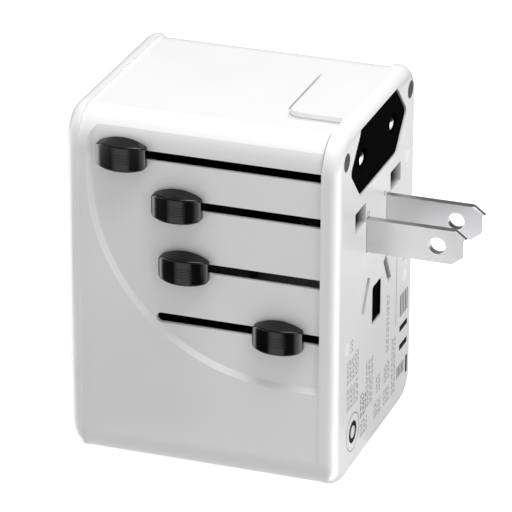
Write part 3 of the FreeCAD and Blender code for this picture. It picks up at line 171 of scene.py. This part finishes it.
def number_spread(tree, factor, low, high):
    """A number between two limits, set by a noise."""
    spread = add_node(tree, "ShaderNodeMapRange")
    spread.inputs["From Min"].default_value = 0.3
    spread.inputs["From Max"].default_value = 0.7
    spread.inputs["To Min"].default_value = low
    spread.inputs["To Max"].default_value = high
    tree.links.new(factor, spread.inputs["Value"])
    return spread.outputs["Result"]


def add_bump(tree, shader, factor, depth, strength=0.5):
    """A fine relief on the shader, as deep as given in metres."""
    bump = add_node(tree, "ShaderNodeBump", Strength=strength, Distance=depth)
    tree.links.new(factor, bump.inputs["Height"])
    tree.links.new(bump.outputs["Normal"], shader.inputs["Normal"])


def shade(colour, factor):
    """A colour made lighter or darker, and never above white."""
    return tuple(min(1.0, channel * factor) for channel in colour)


def moulded(name, colour, roughness, variation=0.03, uneven=0.15, specular=0.5, ior=1.5):
    """Moulded plastic: a faint flow mottle, uneven gloss and a very fine surface grain."""
    material, tree, shader = node_material(name)
    places = object_places(tree)
    flow = noise(tree, places, FLOW_SCALE)
    grain = noise(tree, places, GRAIN_SCALE, 2.0)
    colours = colour_spread(tree, flow, shade(colour, 1 - variation), shade(colour, 1 + variation))
    tree.links.new(colours, shader.inputs["Base Color"])
    roughnesses = number_spread(tree, flow, roughness * (1 - uneven), roughness * (1 + uneven))
    tree.links.new(roughnesses, shader.inputs["Roughness"])
    add_bump(tree, shader, grain, GRAIN_DEPTH)
    shader.inputs["IOR"].default_value = ior
    shader.inputs["Specular IOR Level"].default_value = specular
    return material


def metal(name, colour, roughness):
    """Plated metal with fine drawing lines along X and slight tarnish."""
    material, tree, shader = node_material(name)
    lines = noise(tree, object_places(tree, DRAWN_STRETCH), DRAWN_SCALE, 4.0)
    tarnish = noise(tree, object_places(tree), TARNISH_SCALE)
    colours = colour_spread(tree, tarnish, shade(colour, 1 - TARNISH), shade(colour, 1 + TARNISH))
    tree.links.new(colours, shader.inputs["Base Color"])
    roughnesses = number_spread(tree, lines, roughness * (1 - DRAWN_UNEVEN),
                                roughness * (1 + DRAWN_UNEVEN))
    tree.links.new(roughnesses, shader.inputs["Roughness"])
    add_bump(tree, shader, lines, DRAWN_DEPTH, 0.1)
    shader.inputs["Metallic"].default_value = 1.0
    return material


def maths(tree, operation, first, second):
    """A Math node. Each input is a socket or a number."""
    node = add_node(tree, "ShaderNodeMath", operation=operation)
    for socket, given in zip(node.inputs, (first, second)):
        if isinstance(given, bpy.types.NodeSocket):
            tree.links.new(given, socket)
        else:
            socket.default_value = given
    return node.outputs["Value"]


def overhang(tree, place, middle, reach):
    """How far a coordinate lies beyond a distance from the middle, and nothing within it."""
    from_middle = maths(tree, "SUBTRACT", place, middle)
    distance = maths(tree, "ABSOLUTE", from_middle, 0.0)
    return maths(tree, "MAXIMUM", maths(tree, "SUBTRACT", distance, reach), 0.0)


def inside_casing(tree):
    """Where the shell is painted with shade: 1 in the casing's rounded hollow, 0 outside, and
    between them in the openings.
    """
    places = add_node(tree, "ShaderNodeTexCoord")
    parts = add_node(tree, "ShaderNodeSeparateXYZ")
    tree.links.new(places.outputs["Object"], parts.inputs["Vector"])
    across = overhang(tree, parts.outputs["Y"], 0.0, HOLLOW_HALF - HOLLOW_CORNER)
    middle = (HOLLOW_LOW + HOLLOW_HIGH) / 2
    reach = (HOLLOW_HIGH - HOLLOW_LOW) / 2 - HOLLOW_CORNER
    upward = overhang(tree, parts.outputs["Z"], middle, reach)
    squares = [maths(tree, "MULTIPLY", side, side) for side in (across, upward)]
    distance = maths(tree, "ADD", *squares)
    within = maths(tree, "LESS_THAN", distance, HOLLOW_CORNER ** 2)
    along = maths(tree, "ABSOLUTE", parts.outputs["X"], 0.0)
    depth = add_node(tree, "ShaderNodeMapRange")
    depth.inputs["From Min"].default_value = MOUTH_LIGHT
    depth.inputs["From Max"].default_value = MOUTH_DARK
    tree.links.new(along, depth.inputs["Value"])
    return maths(tree, "MULTIPLY", within, depth.outputs["Result"])


def shell_plastic(name, colour, hollow_shade, roughness):
    """Glossy shell whose inner faces are painted near black by their place: painted shade, so the
    hollow looks unlit.
    """
    material = moulded(name, colour, roughness, variation=0.008, uneven=0.04)
    tree = material.node_tree
    shader = tree.nodes["Principled BSDF"]
    outer = shader.inputs["Base Color"].links[0].from_socket
    mix = add_node(tree, "ShaderNodeMix", data_type="RGBA")
    factor = mix.inputs[0]
    first_colour, second_colour = mix.inputs[6:8]
    mixed_colour = mix.outputs[2]
    # The hollow's faces get the near-black colour as painted shade.
    tree.links.new(inside_casing(tree), factor)
    tree.links.new(outer, first_colour)
    second_colour.default_value = (*hollow_shade, 1)
    tree.links.new(mixed_colour, shader.inputs["Base Color"])
    return material


WHITE = (0.84, 0.84, 0.84)

MATERIALS = {
    # shell_white's inner faces are painted near black: painted shade for the unlit hollow.
    "shell_white": shell_plastic("shell_white", WHITE, (0.02, 0.02, 0.02), 0.3),
    "plug_black": moulded("plug_black", (0.0018, 0.0018, 0.002), 0.45, ior=1.01),
    "knob_black": moulded("knob_black", (0.003, 0.003, 0.003), 0.14, specular=0.42),
    "carriage_black": moulded("carriage_black", (0.03, 0.03, 0.032), 0.45),
    "blade_nickel": metal("blade_nickel", (0.64, 0.64, 0.65), 0.34),
    "pin_chrome": metal("pin_chrome", (0.62, 0.62, 0.62), 0.2),
    "cover_grey": moulded("cover_grey", (0.05, 0.05, 0.052), 0.5, ior=1.15),
    "plug_white": moulded("plug_white", (0.98, 0.98, 0.98), 0.3),
    "screw_steel": metal("screw_steel", (0.42, 0.42, 0.43), 0.3),
    "spring_steel": metal("spring_steel", (0.50, 0.50, 0.52), 0.25),
    "contact_brass": metal("contact_brass", (0.74, 0.57, 0.27), 0.28),
    "shutter_grey": moulded("shutter_grey", (0.30, 0.30, 0.31), 0.5),
    "shelf_white": moulded("shelf_white", (0.10, 0.10, 0.10), 0.5),
    "fuse_ceramic": moulded("fuse_ceramic", (0.70, 0.66, 0.58), 0.35),
    "board_green": moulded("board_green", (0.03, 0.16, 0.07), 0.35),
    "port_steel": metal("port_steel", (0.60, 0.60, 0.61), 0.25),
    "tongue_white": moulded("tongue_white", (0.75, 0.75, 0.74), 0.4),
    "ferrite": moulded("ferrite", (0.05, 0.05, 0.055), 0.6),
    "winding_tape": moulded("winding_tape", (0.70, 0.50, 0.06), 0.35),
    "capacitor_sleeve": moulded("capacitor_sleeve", (0.03, 0.035, 0.10), 0.3),
    "print_grey": moulded("print_grey", (0.20, 0.20, 0.20), 0.45, ior=1.3),
    "print_black": moulded("print_black", (0.01, 0.01, 0.01), 0.45, ior=1.05),
    # seam_grey colours the dark joint at the front seam and the painted shadow behind the tongue's
    # step.
    "seam_grey": moulded("seam_grey", (0.28, 0.28, 0.28), 0.5),
    # seam_light is painted shade: the grey band on the tongue's shaded soft edge.
    "seam_light": moulded("seam_light", (0.68, 0.68, 0.68), 0.4),
    "light_blue": moulded("light_blue", (0.35, 0.52, 0.80), 0.15),
}

for part in frame["record"]["subparts"]:
    mesh = frame["nodes"][part["node"]].data
    mesh.materials.clear()
    mesh.materials.append(MATERIALS[part["material_slot"]])


# ---- detail pieces ----

def add_piece(name, vertices, faces, material, body="casing"):
    """A mesh piece that rides on a body."""
    mesh = bpy.data.meshes.new(name)
    mesh.from_pydata(vertices, [], faces)
    mesh.materials.append(MATERIALS[material])
    piece = bpy.data.objects.new(name, mesh)
    bpy.context.scene.collection.objects.link(piece)
    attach(piece, body)


def add_tube(vertices, faces, rings):
    """Joins rings of as many points each into a bar with closed ends."""
    first = len(vertices)
    sides = len(rings[0])
    for ring in rings:
        vertices.extend(ring)
    for i in range(len(rings) - 1):
        here = first + sides * i
        there = here + sides
        for a in range(sides):
            b = (a + 1) % sides
            faces.append((here + a, here + b, there + b, there + a))
    last = first + sides * (len(rings) - 1)
    faces.append(tuple(first + i for i in reversed(range(sides))))
    faces.append(tuple(last + i for i in range(sides)))


def print_layers():
    """The back and the front of the print, a hair under and over the plug face."""
    face_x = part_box("front_cap")[1].x
    return face_x - PRINT_THICK, face_x + PRINT_THICK


def add_mark(vertices, faces, low, high, slant=0.0):
    """A thin printed bar on the plug face, between two (y, z) corners in millimetres."""
    corners = [(low[0], low[1]), (high[0], low[1] + slant), (high[0], high[1] + slant),
               (low[0], high[1])]
    rings = [[(x, y * MM, z * MM) for y, z in corners] for x in print_layers()]
    add_tube(vertices, faces, rings)


def print_lines(name, fields, material):
    """Rows of short plain dashes that fill each field, as small print does from far off."""
    draw = random.Random(name)
    vertices = []
    faces = []
    for y_low, y_high, z_low, z_high in fields:
        y = y_low
        while y < y_high:
            z = z_low
            while z < z_high - DASH_SHORT:
                length = min(draw.uniform(DASH_SHORT, DASH_LONG), z_high - z)
                add_mark(vertices, faces, (y, z), (y + DASH_WIDE, z + length))
                z += length + DASH_GAP
            y += DASH_PITCH
    add_piece(name, vertices, faces, material)


def print_bars(name, bars, material):
    """Plain bars, each given as y_low, y_high, z_low, z_high and a slant."""
    vertices = []
    faces = []
    for y_low, y_high, z_low, z_high, slant in bars:
        add_mark(vertices, faces, (y_low, z_low), (y_high, z_high), slant)
    add_piece(name, vertices, faces, material)


def print_rings(name, rings, material):
    """Plain rings on the plug face, each given as y, z, outer and inner radius."""
    layers = print_layers()
    vertices = []
    faces = []
    for y, z, outer, inner in rings:
        first = len(vertices)
        for i in range(RING_SIDES):
            turn = 2 * math.pi * i / RING_SIDES
            for radius in (outer, inner):
                for x in layers:
                    vertices.append((x, (y + radius * math.cos(turn)) * MM,
                                     (z + radius * math.sin(turn)) * MM))
        for i in range(RING_SIDES):
            here = first + 4 * i
            there = first + 4 * ((i + 1) % RING_SIDES)
            for a, b in ((0, 1), (1, 3), (3, 2), (2, 0)):
                faces.append((here + a, there + a, there + b, here + b))
    add_piece(name, vertices, faces, material)


def make_print():
    """Plain dashes, bars and rings where the plug face is printed."""
    print_lines("small_print", [
        (-18.0, -10.8, 14.8, 19.8), (-18.0, -10.8, 20.6, 26.0), (-16.0, -14.4, 26.8, 29.4),
        (-5.8, -1.4, 10.2, 20.2), (-9.2, -4.6, 5.4, 8.8), (1.0, 3.8, 10.4, 14.6),
        (-0.4, 3.8, 5.4, 8.8), (6.0, 9.6, 5.4, 9.0), (6.0, 9.6, 10.4, 14.6),
        (7.2, 8.4, 16.6, 29.2), (11.0, 13.8, 5.4, 17.8), (17.3, 18.4, 32.4, 33.2),
        (-6.8, -5.0, 51.9, 53.3), (3.8, 5.4, 51.9, 53.0)], "print_grey")
    print_lines("dark_print", [(-9.2, -6.2, 9.6, 14.8)], "print_black")
    rule = [(13.1, 13.3, 20.0, 36.0, 0.0)]
    ladder = [(16.0 + 1.1 * i, 16.45 + 1.1 * i, 20.6, 25.4, 0.0) for i in range(5)]
    hatch = [(14.6 + 1.0 * i, 15.0 + 1.0 * i, 7.4, 9.8, 0.3) for i in range(5)]
    blocks = [(15.9, 20.9, 17.3, 18.5, 0.0), (15.9, 20.9, 13.2, 14.4, 0.0),
              (20.3, 21.4, 6.4, 10.2, 0.0)]
    print_bars("print_rule", rule, "print_grey")
    print_bars("print_blocks", ladder + hatch + blocks, "print_black")
    print_rings("print_ring", [(*RING_PLACE, 2.3, 1.3)], "print_black")
    print_rings("print_outer_ring", [(*RING_PLACE, 4.0, 3.8)], "print_grey")


def add_grip(vertices, faces, middle_x, axis_y, z):
    """A fine raised rib, level at z, round the face of a knob. Its ends sink into the face."""
    rings = []
    for i in range(RIB_STEPS + 1):
        x = RIB_HALF * (2 * i / RIB_STEPS - 1)
        lift = RIB_LIFT * (1 - (x / RIB_HALF) ** RIB_FLATNESS) - RIB_SUNK * RIB_LIFT
        ring = []
        for rise, out in ((-0.5, -RIB_LIFT), (-0.25, lift), (0.25, lift), (0.5, -RIB_LIFT)):
            y = axis_y - math.sqrt((DOME_RADIUS + out) ** 2 - x * x)
            ring.append((middle_x + x, y, z + rise * RIB_WIDE))
        rings.append(ring)
    add_tube(vertices, faces, rings)


def make_grips():
    """Four fine grip ribs on the face of each knob."""
    for plug in ("eu", "uk", "au", "us"):
        low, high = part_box(plug + "_knob")
        vertices = []
        faces = []
        for level in RIB_LEVELS:
            add_grip(vertices, faces, (low.x + high.x) / 2, low.y + DOME_RADIUS,
                     (low.z + high.z) / 2 + level * RIB_PITCH)
        add_piece(plug + "_knob_grips", vertices, faces, "knob_black", plug + "_button")


def make_front_seam():
    """The dark line on the front cap's edge where it passes over the near rounding."""
    low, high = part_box("front_cap")
    seam_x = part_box("main_sleeve")[1].x
    rings = []
    for i in range(SEAM_STEPS + 1):
        turn = math.radians(SEAM_FROM + (SEAM_TO - SEAM_FROM) * i / SEAM_STEPS)
        low_end = SEAM_THIN_END + i / SEAM_LOW_TAPER
        high_end = SEAM_THIN_END + (SEAM_STEPS - i) / SEAM_HIGH_TAPER
        wide = SEAM_WIDE * min(1.0, low_end, high_end)
        ring = []
        for x, lift in ((0, -SEAM_OUT), (wide, -SEAM_OUT), (wide, SEAM_OUT), (0, SEAM_OUT)):
            reach = CAP_CORNER + lift
            ring.append((seam_x - SEAM_SUNK + x, low.y + CAP_CORNER - reach * math.cos(turn),
                         high.z - CAP_CORNER + reach * math.sin(turn)))
        rings.append(ring)
    vertices = []
    faces = []
    add_tube(vertices, faces, rings)
    add_piece("front_seam_line", vertices, faces, "seam_grey")


def make_tongue_rear_shadow(rear, foot):
    """A painted shadow: a dark line on the sleeve behind the tongue's step, a little uneven in
    width.
    """
    bend = TONGUE_HALF - TONGUE_CORNER
    rings = []
    for y, near, far in ((bend + 1 * MM, 0.5, 0.6), (bend - 1 * MM, 0.45, 0.75),
                         (2 * MM - bend, 0.45, 0.8), (0.5 * MM - bend, 0.42, 0.6)):
        corners = ((near, -SEAM_OUT), (far, -SEAM_OUT), (far, SEAM_OUT), (near, SEAM_OUT))
        rings.append([(rear - reach * MM, y, foot + lift) for reach, lift in corners])
    vertices = []
    faces = []
    add_tube(vertices, faces, rings)
    add_piece("tongue_rear_shadow", vertices, faces, "seam_grey")


def tongue_edge_point(rear, turn, reach, thin, z):
    """A point of the edge, at a turn round the tongue's rear corner and a reach in mm past it.

    The outline's far points are drawn in by thin, and its middle points stay.
    """
    if abs(reach) > TAPERED_FROM:
        reach = reach * thin
    radius = TONGUE_CORNER + reach * MM
    bend = TONGUE_HALF - TONGUE_CORNER
    return (rear + TONGUE_CORNER - radius * math.cos(turn), -bend - radius * math.sin(turn), z)


def make_tongue_edge_shade(rear, foot, seam_x):
    """Painted shade on the soft edge round the tongue's near rear corner and along its near side:
    a grey band.
    """
    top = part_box("front_cap")[1].z
    outline = [(-1.2, top + SEAM_OUT), (-0.36, top + SEAM_OUT), (0.02, top - 0.34 * MM),
               (0.02, foot + SEAM_OUT), (0.9, foot + SEAM_OUT), (0.9, foot - SEAM_OUT),
               (-0.05, foot - SEAM_OUT), (-0.05, top - 0.38 * MM), (-0.42, top - SEAM_OUT),
               (-1.2, top - SEAM_OUT)]
    rings = []
    for i in range(TONGUE_STEPS + 1):
        turn = math.radians(TONGUE_TURN_FROM
                            + (TONGUE_TURN_TO - TONGUE_TURN_FROM) * i / TONGUE_STEPS)
        thin = min(1.0, TONGUE_THIN_END + i / TONGUE_TAPER)
        rings.append([tongue_edge_point(rear, turn, reach, thin, z) for reach, z in outline])
    rings.append([(seam_x - TONGUE_END_GAP, y, z) for _, y, z in rings[-1]])
    vertices = []
    faces = []
    add_tube(vertices, faces, rings)
    add_piece("tongue_edge_shade", vertices, faces, "seam_light")


def make_tongue_lines():
    """The painted shadow behind the front cap's tongue and the painted shade on the soft edge
    along its near side.
    """
    seam_x, _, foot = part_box("main_sleeve")[1]
    rear = seam_x - TONGUE_LONG
    make_tongue_rear_shadow(rear, foot)
    make_tongue_edge_shade(rear, foot, seam_x)


make_print()
make_grips()
make_front_seam()
make_tongue_lines()


# ---- camera ----

def aim(eye, azimuth, elevation, roll):
    """A camera matrix from angles in degrees: azimuth 0 looks along +Y."""
    turn, rise, lean = (math.radians(angle) for angle in (azimuth, elevation, roll))
    forward = Vector((-math.sin(turn) * math.cos(rise), math.cos(turn) * math.cos(rise),
                      -math.sin(rise)))
    right = Vector((math.cos(turn), math.sin(turn), 0))
    up = right.cross(forward)
    side = right * math.cos(lean) + up * math.sin(lean)
    top = up * math.cos(lean) - right * math.sin(lean)
    matrix = Matrix((side, top, -forward)).transposed().to_4x4()
    matrix.translation = eye
    return matrix


EYE = Vector((0.2410, -0.6831, 0.3580))
EYE_AZIMUTH = 19.23
EYE_ELEVATION = 23.93
EYE_ROLL = 0.31
SENSOR_WIDTH = 36.0
LENS = 281.67
FAR_CLIP = 20.0
camera_data = bpy.data.cameras.new("camera")
camera_data.sensor_width = SENSOR_WIDTH
camera_data.lens = LENS
camera_data.clip_end = FAR_CLIP
camera = bpy.data.objects.new("camera", camera_data)
bpy.context.scene.collection.objects.link(camera)
camera.matrix_world = aim(EYE, EYE_AZIMUTH, EYE_ELEVATION, EYE_ROLL)
bpy.context.scene.camera = camera


# ---- floor and light ----

def stage_sheet(name, vertices, faces, material):
    """A sheet that is part of the studio, not of the object."""
    mesh = bpy.data.meshes.new(name)
    mesh.from_pydata(vertices, [], faces)
    mesh.materials.append(material)
    sheet = bpy.data.objects.new(name, mesh)
    bpy.context.scene.collection.objects.link(sheet)
    return sheet


def flat_sheet(name, corners, material):
    """A studio sheet of one face."""
    return stage_sheet(name, corners, [tuple(range(len(corners)))], material)


def glowing(name, colour, glow):
    """A matt studio surface with a faint mottle that also glows."""
    material, tree, shader = node_material(name)
    mottle = noise(tree, object_places(tree), 3.0)
    tree.links.new(colour_spread(tree, mottle, shade(colour, 0.98), shade(colour, 1.02)),
                   shader.inputs["Base Color"])
    shader.inputs["Roughness"].default_value = 0.9
    shader.inputs["Specular IOR Level"].default_value = 0.0
    shader.inputs["Emission Color"].default_value = (1, 1, 1, 1)
    shader.inputs["Emission Strength"].default_value = glow
    return material


def square(half, height):
    """The corners of a level square about the middle."""
    return [(-half, -half, height), (half, -half, height), (half, half, height),
            (-half, half, height)]


def make_floor():
    """A white floor, and under it a dimmer sheet that is all the soft bounce light sees."""
    floor = flat_sheet("floor", square(FLOOR_HALF, 0),
                       glowing("floor_white", (0.3, 0.3, 0.3), 0.95))
    floor.visible_diffuse = False
    bounce = flat_sheet("bounce_sheet", square(FLOOR_HALF, -BOUNCE_DROP),
                        glowing("bounce_grey", (0.1, 0.1, 0.1), BOUNCE_GLOW))
    bounce.visible_camera = False
    bounce.visible_glossy = False


def reflection_only(sheet):
    """Hides a sheet from all but reflections."""
    sheet.visible_camera = False
    sheet.visible_diffuse = False
    sheet.visible_transmission = False
    sheet.visible_shadow = False


def fade_out(tree, value, reach, gain=1.0):
    """1 at no distance, falling smoothly to 0 at reach. A gain above 1 gives it a flat top."""
    fade = add_node(tree, "ShaderNodeMapRange", interpolation_type="SMOOTHSTEP")
    fade.inputs["From Min"].default_value = reach
    fade.inputs["From Max"].default_value = 0.0
    fade.inputs["To Max"].default_value = gain
    tree.links.new(maths(tree, "ABSOLUTE", value, 0.0), fade.inputs["Value"])
    return maths(tree, "MINIMUM", fade.outputs["Result"], 1.0)


def floor_card(name, start, bearing, spread, near, far, glow, layer, shade_depth=1.0):
    """A sector of floor that looks brighter, or darker where glow is 0, in shiny surfaces.

    It is centred on a bearing from its start, spread degrees to each side, and strongest
    midway between two distances. A near one below 0 puts that close to the start. A dark
    card's shade_depth is how black it is, and layer gives each card a height of its own.
    """
    material = bpy.data.materials.new(name)
    material.use_nodes = True
    tree = material.node_tree
    tree.nodes.clear()
    places = add_node(tree, "ShaderNodeTexCoord")
    parts = add_node(tree, "ShaderNodeSeparateXYZ")
    tree.links.new(places.outputs["Object"], parts.inputs["Vector"])
    angle = maths(tree, "ARCTAN2", parts.outputs["Y"], parts.outputs["X"])
    length = add_node(tree, "ShaderNodeVectorMath", operation="LENGTH")
    tree.links.new(places.outputs["Object"], length.inputs[0])
    off_middle = maths(tree, "SUBTRACT", length.outputs["Value"], (near + far) / 2)
    gain = 1.0 if glow else FLAT_TOP
    strength = maths(tree, "MULTIPLY", fade_out(tree, angle, math.radians(spread), gain),
                     fade_out(tree, off_middle, (far - near) / 2, FLAT_TOP))
    clear = add_node(tree, "ShaderNodeBsdfTransparent")
    light = add_node(tree, "ShaderNodeEmission", Strength=0.0)
    total = add_node(tree, "ShaderNodeAddShader")
    output = add_node(tree, "ShaderNodeOutputMaterial")
    if glow:
        tree.links.new(maths(tree, "MULTIPLY", strength, glow), light.inputs["Strength"])
    else:
        shaded = maths(tree, "MULTIPLY", strength, shade_depth)
        tree.links.new(maths(tree, "SUBTRACT", 1.0, shaded), clear.inputs["Color"])
    tree.links.new(clear.outputs[0], total.inputs[0])
    tree.links.new(light.outputs[0], total.inputs[1])
    tree.links.new(total.outputs[0], output.inputs["Surface"])
    vertices = []
    faces = []
    for i in range(CARD_STEPS + 1):
        turn = math.radians(spread) * (2 * i / CARD_STEPS - 1)
        for radius in (max(near, CARD_INNER), far):
            vertices.append((radius * math.cos(turn), radius * math.sin(turn), 0))
    for i in range(CARD_STEPS):
        faces.append((2 * i, 2 * i + 1, 2 * i + 3, 2 * i + 2))
    sheet = stage_sheet(name, vertices, faces, material)
    sheet.location = (*start, CARD_HEIGHT + layer * CARD_GAP)
    sheet.rotation_euler.z = math.radians(bearing)
    reflection_only(sheet)


def upright_card(name, low, high, material):
    """A dark card between two corners, square to the X or the Y axis. Only reflections see it."""
    sheet = flat_sheet(name, [(low[0], low[1], low[2]), (high[0], high[1], low[2]),
                              (high[0], high[1], high[2]), (low[0], low[1], high[2])], material)
    reflection_only(sheet)


def make_cards():
    """Cards that give the shiny edges their bright lines, and the knobs their dark bands.

    The knobs' cards lie where each knob's front reflects the camera's line of sight.
    """
    front_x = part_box("front_cap")[1][0]
    rear_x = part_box("rear_cap")[0][0]
    near_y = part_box("main_sleeve")[0][1]
    edge_y = near_y + EDGE_CORNER
    floor_card("front_edge_glow", (front_x - EDGE_CORNER, edge_y), bearing=0, spread=56,
               near=-0.3, far=0.5, glow=7.5, layer=0)
    floor_card("rear_edge_glow", (rear_x + EDGE_CORNER, edge_y), bearing=-172, spread=60,
               near=-0.3, far=0.5, glow=4.0, layer=1)
    floor_card("face_shade", (front_x, 0), bearing=71, spread=75,
               near=-0.12, far=0.12, glow=0.0, layer=2, shade_depth=0.45)
    floor_card("low_shade", (-15 * MM, near_y - 5 * MM), bearing=-109, spread=62,
               near=6 * MM, far=34 * MM, glow=0.0, layer=3)
    layer = 4
    for plug in ("eu", "uk", "au", "us"):
        low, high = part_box(plug + "_knob")
        start = Vector(((low[0] + high[0]) / 2, low[1], (low[2] + high[2]) / 2))
        away = EYE - start
        reach = start.z * away.xy.length / away.z
        for side, bearing, spread in (("left", -150, 38), ("right", -61, 23)):
            floor_card(f"{plug}_{side}_shade", start.xy, bearing, spread,
                       near=reach - KNOB_CARD_HALF, far=reach + KNOB_CARD_HALF, glow=0.0,
                       layer=layer)
            layer += 1
    dark = glowing("card_grey", (0.01, 0.01, 0.01), 0.0)
    upright_card("near_shade", (-1.0, -0.9, 0.02), (1.0, -0.9, 0.9), dark)
    upright_card("far_shade", (-0.5, 0.15, 0.025), (0.5, 0.15, 0.15), dark)


def area_light(name, place, target, size, power):
    """A soft rectangular light that faces its target."""
    data = bpy.data.lights.new(name, "AREA")
    data.shape = "RECTANGLE"
    data.size, data.size_y = size
    data.energy = power
    light = bpy.data.objects.new(name, data)
    bpy.context.scene.collection.objects.link(light)
    light.location = place
    light.rotation_euler = (Vector(target) - Vector(place)).to_track_quat("-Z", "Y").to_euler()


def make_world():
    """An even white surround."""
    world = bpy.data.worlds.new("studio")
    bpy.context.scene.world = world
    world.use_nodes = True
    background = world.node_tree.nodes["Background"]
    background.inputs["Color"].default_value = (1, 1, 1, 1)
    background.inputs["Strength"].default_value = WORLD_LIGHT


bpy.context.scene.view_settings.view_transform = "Standard"
make_floor()
make_world()
make_cards()
middle = (0, 0, 0.04)
area_light("top_light", (0.20, -0.06, 0.75), middle, size=(0.5, 0.5), power=4.6)
area_light("right_light", (0.7, -0.6, 0.30), middle, size=(0.10, 0.6), power=0.45)
area_light("left_light", (-0.7, -0.1, 0.10), middle, size=(0.10, 0.6), power=1.0)
